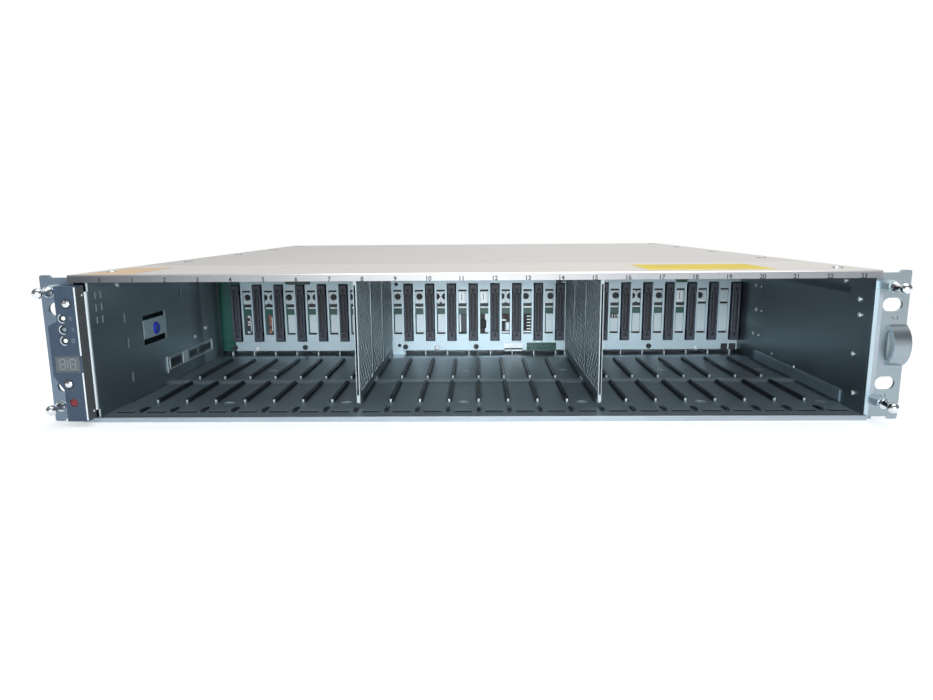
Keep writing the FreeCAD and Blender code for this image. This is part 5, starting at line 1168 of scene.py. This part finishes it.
# %% Rivets, lances and the guide bracket
shapes = Shapes()
wall_x, right_x = box_of("inner_left_wall")[1].x, box_of("side_guides")[1].x
RIVETS = [
    (right_x - 0.6, -1, 1.45, 0.5, [(12.4, 66.7), (10.9, 57.9), (14.4, 34.7), (10.4, 12.2), (29.4, 76), (161.9, 61),
    (158.4, 42.6), (161.4, 23.4)]),
    (right_x - 0.02, -1, 0.8, 0.6, [(152.0, 61.0), (149.0, 42.6), (151.5, 23.4), (88.0, 11.5), (125.0, 13.5),
        (46.0, 8.0)]),
    (wall_x + 0.6, 1, 1.45, 0.5, [(137.8, 26.5), (30, 76), (160, 30)])]
for x, toward, radius, height, spots in RIVETS:
    for y, z in spots:
        side_head(shapes["bright_tin"], (x, y, z), radius, height, toward)
back_x = wall_x - 1.3
LANCES = [(3.5 + 6 * column, 58.0 + 7 * level, 2.0, 4.0) for column in (0, 1) for level in (0, 1, 2)]
SLOTS = [(34, 55, 2.4, 6), (36, 39, 2.4, 6), (38, 17, 2.4, 6), (118, 62, 2.4, 6), (146, 64, 2.4, 6)]
for y, z, wide, tall in LANCES + SLOTS:
    edge, low, high = y + wide / 2, z - tall / 2, z + tall / 2
    # Painted shade: a black sheet behind each lance and slot.
    bar(shapes["void_black"], (back_x - 0.3, y - wide / 2 - 3, low - 1), (back_x, edge + 3, high + 1))
    # Painted highlight: a thin bright strip on one edge of each opening.
    bar(shapes["bright_tin"], (wall_x - 0.05, edge, low), (wall_x + 0.03, edge + 0.3, high))
face = wall_x + 0.9
for start, end, low, high in ((87.0, 169.0, 19.3, 19.9), (87.0, 169.0, 10.7, 11.2), (85.7, 87.0, 9.2, 21.0),
        (89.5, 90.3, 11.5, 19.0), (112.0, 121.0, 11.2, 19.3), (168.0, 169.0, 11.0, 19.5)):
    bar(shapes["pale_sheet"], (face - 0.2, start, low), (face + 0.35, end, high), 0.12)
# Painted shade: black patches in the bracket's slots and three black dots for its small holes.
for start, end in ((92.0, 109.0), (124.0, 138.0), (142.0, 165.0)):
    bar(shapes["void_black"], (face - 0.1, start, 12.8), (face + 0.04, end, 17.6))
for z in (11.0, 14.5, 18.0):
    side_head(shapes["void_black"], (face + 0.35, 86.4, z), 0.45, 0.1, 1)
wall_parts = shapes.gather("wall_parts")
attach(wall_parts, "enclosure")
tell(wall_parts)

# %% [markdown]
# The right ear shows the folded edge of the side wall next to it as a paler strip of painted highlight, two small
# stamped lines, and the dark hollow behind the finger loop.

# %% Edges and marks of the ears
shapes = Shapes()
ear_low, ear_high = box_of("right_ear")
EAR_FRONT = -2.0
# Painted highlight: a paler strip over the folded edge of the side wall.
bar(shapes["zinc"], (ear_low.x + 0.1, EAR_FRONT - 0.25, 1.5), (ear_low.x + 2.3, EAR_FRONT + 0.05, 78.5), 0.1)
for x, z, turn in ((234.5, 57.8, -0.5), (232.0, 13.6, -0.7)):
    for shift in (-1.2, 1.2):
        brick(shapes["screw_dark"], (x + shift, EAR_FRONT, z), (0.3, 0.05, 2.4), turn + shift * 0.25)
bar(shapes["pale_sheet"], (ear_high.x - 9.6, EAR_FRONT + 2.05, 32), (ear_high.x - 0.6, EAR_FRONT + 2.3, 53))
ear_parts = shapes.gather("ear_parts")
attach(ear_parts, "enclosure")
tell(ear_parts)

# %% [markdown]
# ## Ball studs
# The studs are turned parts, so the finest way to model one is a lathe: a half section is spun round the stud's axis.
# The section has a flange, a cone, a neck and the ball that clips into a bezel.

# %% Turn the studs
BALL, NECK, FLANGE, REACH = 2.9, 1.6, 2.9, 20.2
section = [(0.0, 10.0), (FLANGE, 10.0), (FLANGE, 12.1), (FLANGE - 0.15, 12.3), (NECK, 15.0), (NECK, REACH - 2.42)]
for step in range(13):
    angle = math.radians(33.5 + step * 146.5 / 12)
    section.append((BALL * math.sin(angle), REACH - BALL * math.cos(angle)))
stud_shape = bmesh.new()
for x in (-230.2, 226.5):
    for z in (11.8, 76.0):
        skin(stud_shape, [[(x + radius * across, EAR_FRONT - reach, z + radius * rise) for across, rise in around(40)]
                for radius, reach in section])
bmesh.ops.remove_doubles(stud_shape, verts=stud_shape.verts, dist=0.001)
bmesh.ops.recalc_face_normals(stud_shape, faces=stud_shape.faces)
studs = keep(stud_shape, "ball_studs_turned", "stud_chrome", smooth=True)
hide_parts("ball_studs")
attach(studs, "enclosure")
tell(studs)

# %% [markdown]
# ## Bare labels
# A white strip label stands on the right flange and two coloured stickers lie on the cover. They are bare here: thin
# sheets with a faint paper grain.

# %% Lay the labels
for extra, colour in (("label_white", (0.36, 0.4, 0.44)), ("label_yellow", (0.82, 0.62, 0.03)),
        ("label_orange", (0.72, 0.5, 0.3))):
    moulding(extra, colour, 0.55, grain_scale=1200.0, bump=0.1, dust=0.1)
cover_top_z = box_of("top_cover_front")[1].z
LABEL_SHEET = 0.08
shapes = Shapes()
for finish, low, high in (("label_yellow", (100, 8.4), (172, 56.4)), ("label_orange", (-217, -1.6), (-190, 54.4))):
    bar(shapes[finish], (*low, cover_top_z), (*high, cover_top_z + LABEL_SHEET))
bar(shapes["label_white"], (224.7, EAR_FRONT - LABEL_SHEET, 10.6), (226.8, EAR_FRONT, 70.5))
labels = shapes.gather("cover_labels")
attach(labels, "enclosure")
tell(labels)

# %% [markdown]
# ## The rear
# Each supply breathes through two fans behind wire guards. A guard is four wire rings and a cross, held by four
# screws. The modules carry small status lights, screw heads, and dark sockets with springy shields at their mouths.

# %% Wire guards and screws of the supplies
REAR_FACE, FAN_HEIGHT, WIRE = 476.4, 53.0, 0.5
SPOKE_MIDDLE, SPOKE_LENGTH, SPOKE_SHEET, SCREW_CIRCLE = 13.4, 16.6, 0.9, 21.0


def wire_ring(shape, centre, radius):
    """A ring of round wire that faces the rear."""
    rings = [[(centre[0] + (radius + WIRE * a) * across, centre[1] + WIRE * b, centre[2] + (radius + WIRE * a) * rise)
            for a, b in around(6)] for across, rise in around(36)]
    skin(shape, rings, closed=True)


for side, fans in (("left", (-200.8, -159.6)), ("right", (137.2, 178.4))):
    shapes = Shapes()
    for fan_x in fans:
        wires = shapes["bright_tin"]
        for radius in (5.0, 9.4, 13.8, 18.2):
            wire_ring(wires, (fan_x, REAR_FACE + WIRE, FAN_HEIGHT), radius)
        for step in range(4):
            angle = math.radians(45 + 90 * step)
            across, rise = math.cos(angle), math.sin(angle)
            spot = (fan_x + SPOKE_MIDDLE * across, REAR_FACE + WIRE + SPOKE_SHEET / 2, FAN_HEIGHT + SPOKE_MIDDLE * rise)
            brick(wires, spot, (SPOKE_LENGTH, SPOKE_SHEET, SPOKE_SHEET), -angle)
            spot = (fan_x + SCREW_CIRCLE * across, REAR_FACE, FAN_HEIGHT + SCREW_CIRCLE * rise)
            round_head(shapes["screw_steel"], spot, 1.9, 1.3, 1)
    low, high = box_of(f"supply_{side}_case")
    for across, z, finish in ((0.86, 12.0, "light_on"), (0.86, 9.5, "light_off"), (0.92, 12.0, "light_off")):
        round_head(shapes[finish], (low.x + across * (high.x - low.x), REAR_FACE, z), 1.1, 0.6, 1)
    guard = shapes.gather(f"supply_{side}_guards")
    outward = bmesh.new()
    outward.from_mesh(guard.data)
    bmesh.ops.recalc_face_normals(outward, faces=outward.faces)
    outward.to_mesh(guard.data)
    outward.free()
    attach(guard, f"supply_{side}")
    tell(guard)

# %% Small parts of the modules
for level in ("lower", "upper"):
    shapes = Shapes()
    ports_low = box_of(f"module_{level}_disk_ports")[0]
    jacks_right = box_of(f"module_{level}_network_jacks")[1].x
    case_low, case_high = box_of(f"module_{level}_case")
    for x, kind in ((ports_low.x - 4, "light_on"), (ports_low.x - 8, "light_off"), (jacks_right + 5, "light_on"),
            (jacks_right + 9, "part_orange"), (jacks_right + 13, "light_off")):
        round_head(shapes[kind], (x, REAR_FACE, ports_low.z + 6), 1.0, 0.6, 1)
    for x in (case_low.x + 6, case_high.x - 26):
        for z in (case_low.z + 5, case_high.z - 5):
            round_head(shapes["screw_steel"], (x, REAR_FACE, z), 2.0, 1.2, 1)
    for step in range(3):
        mark_x = case_low.x + 20 + 9 * step
        bar(shapes["print_black"], (mark_x, REAR_FACE, case_low.z + 10),
                (mark_x + 5, REAR_FACE + 0.04, case_low.z + 10.8))
    parts_here = shapes.gather(f"module_{level}_parts")
    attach(parts_here, f"module_{level}")
    tell(parts_here)
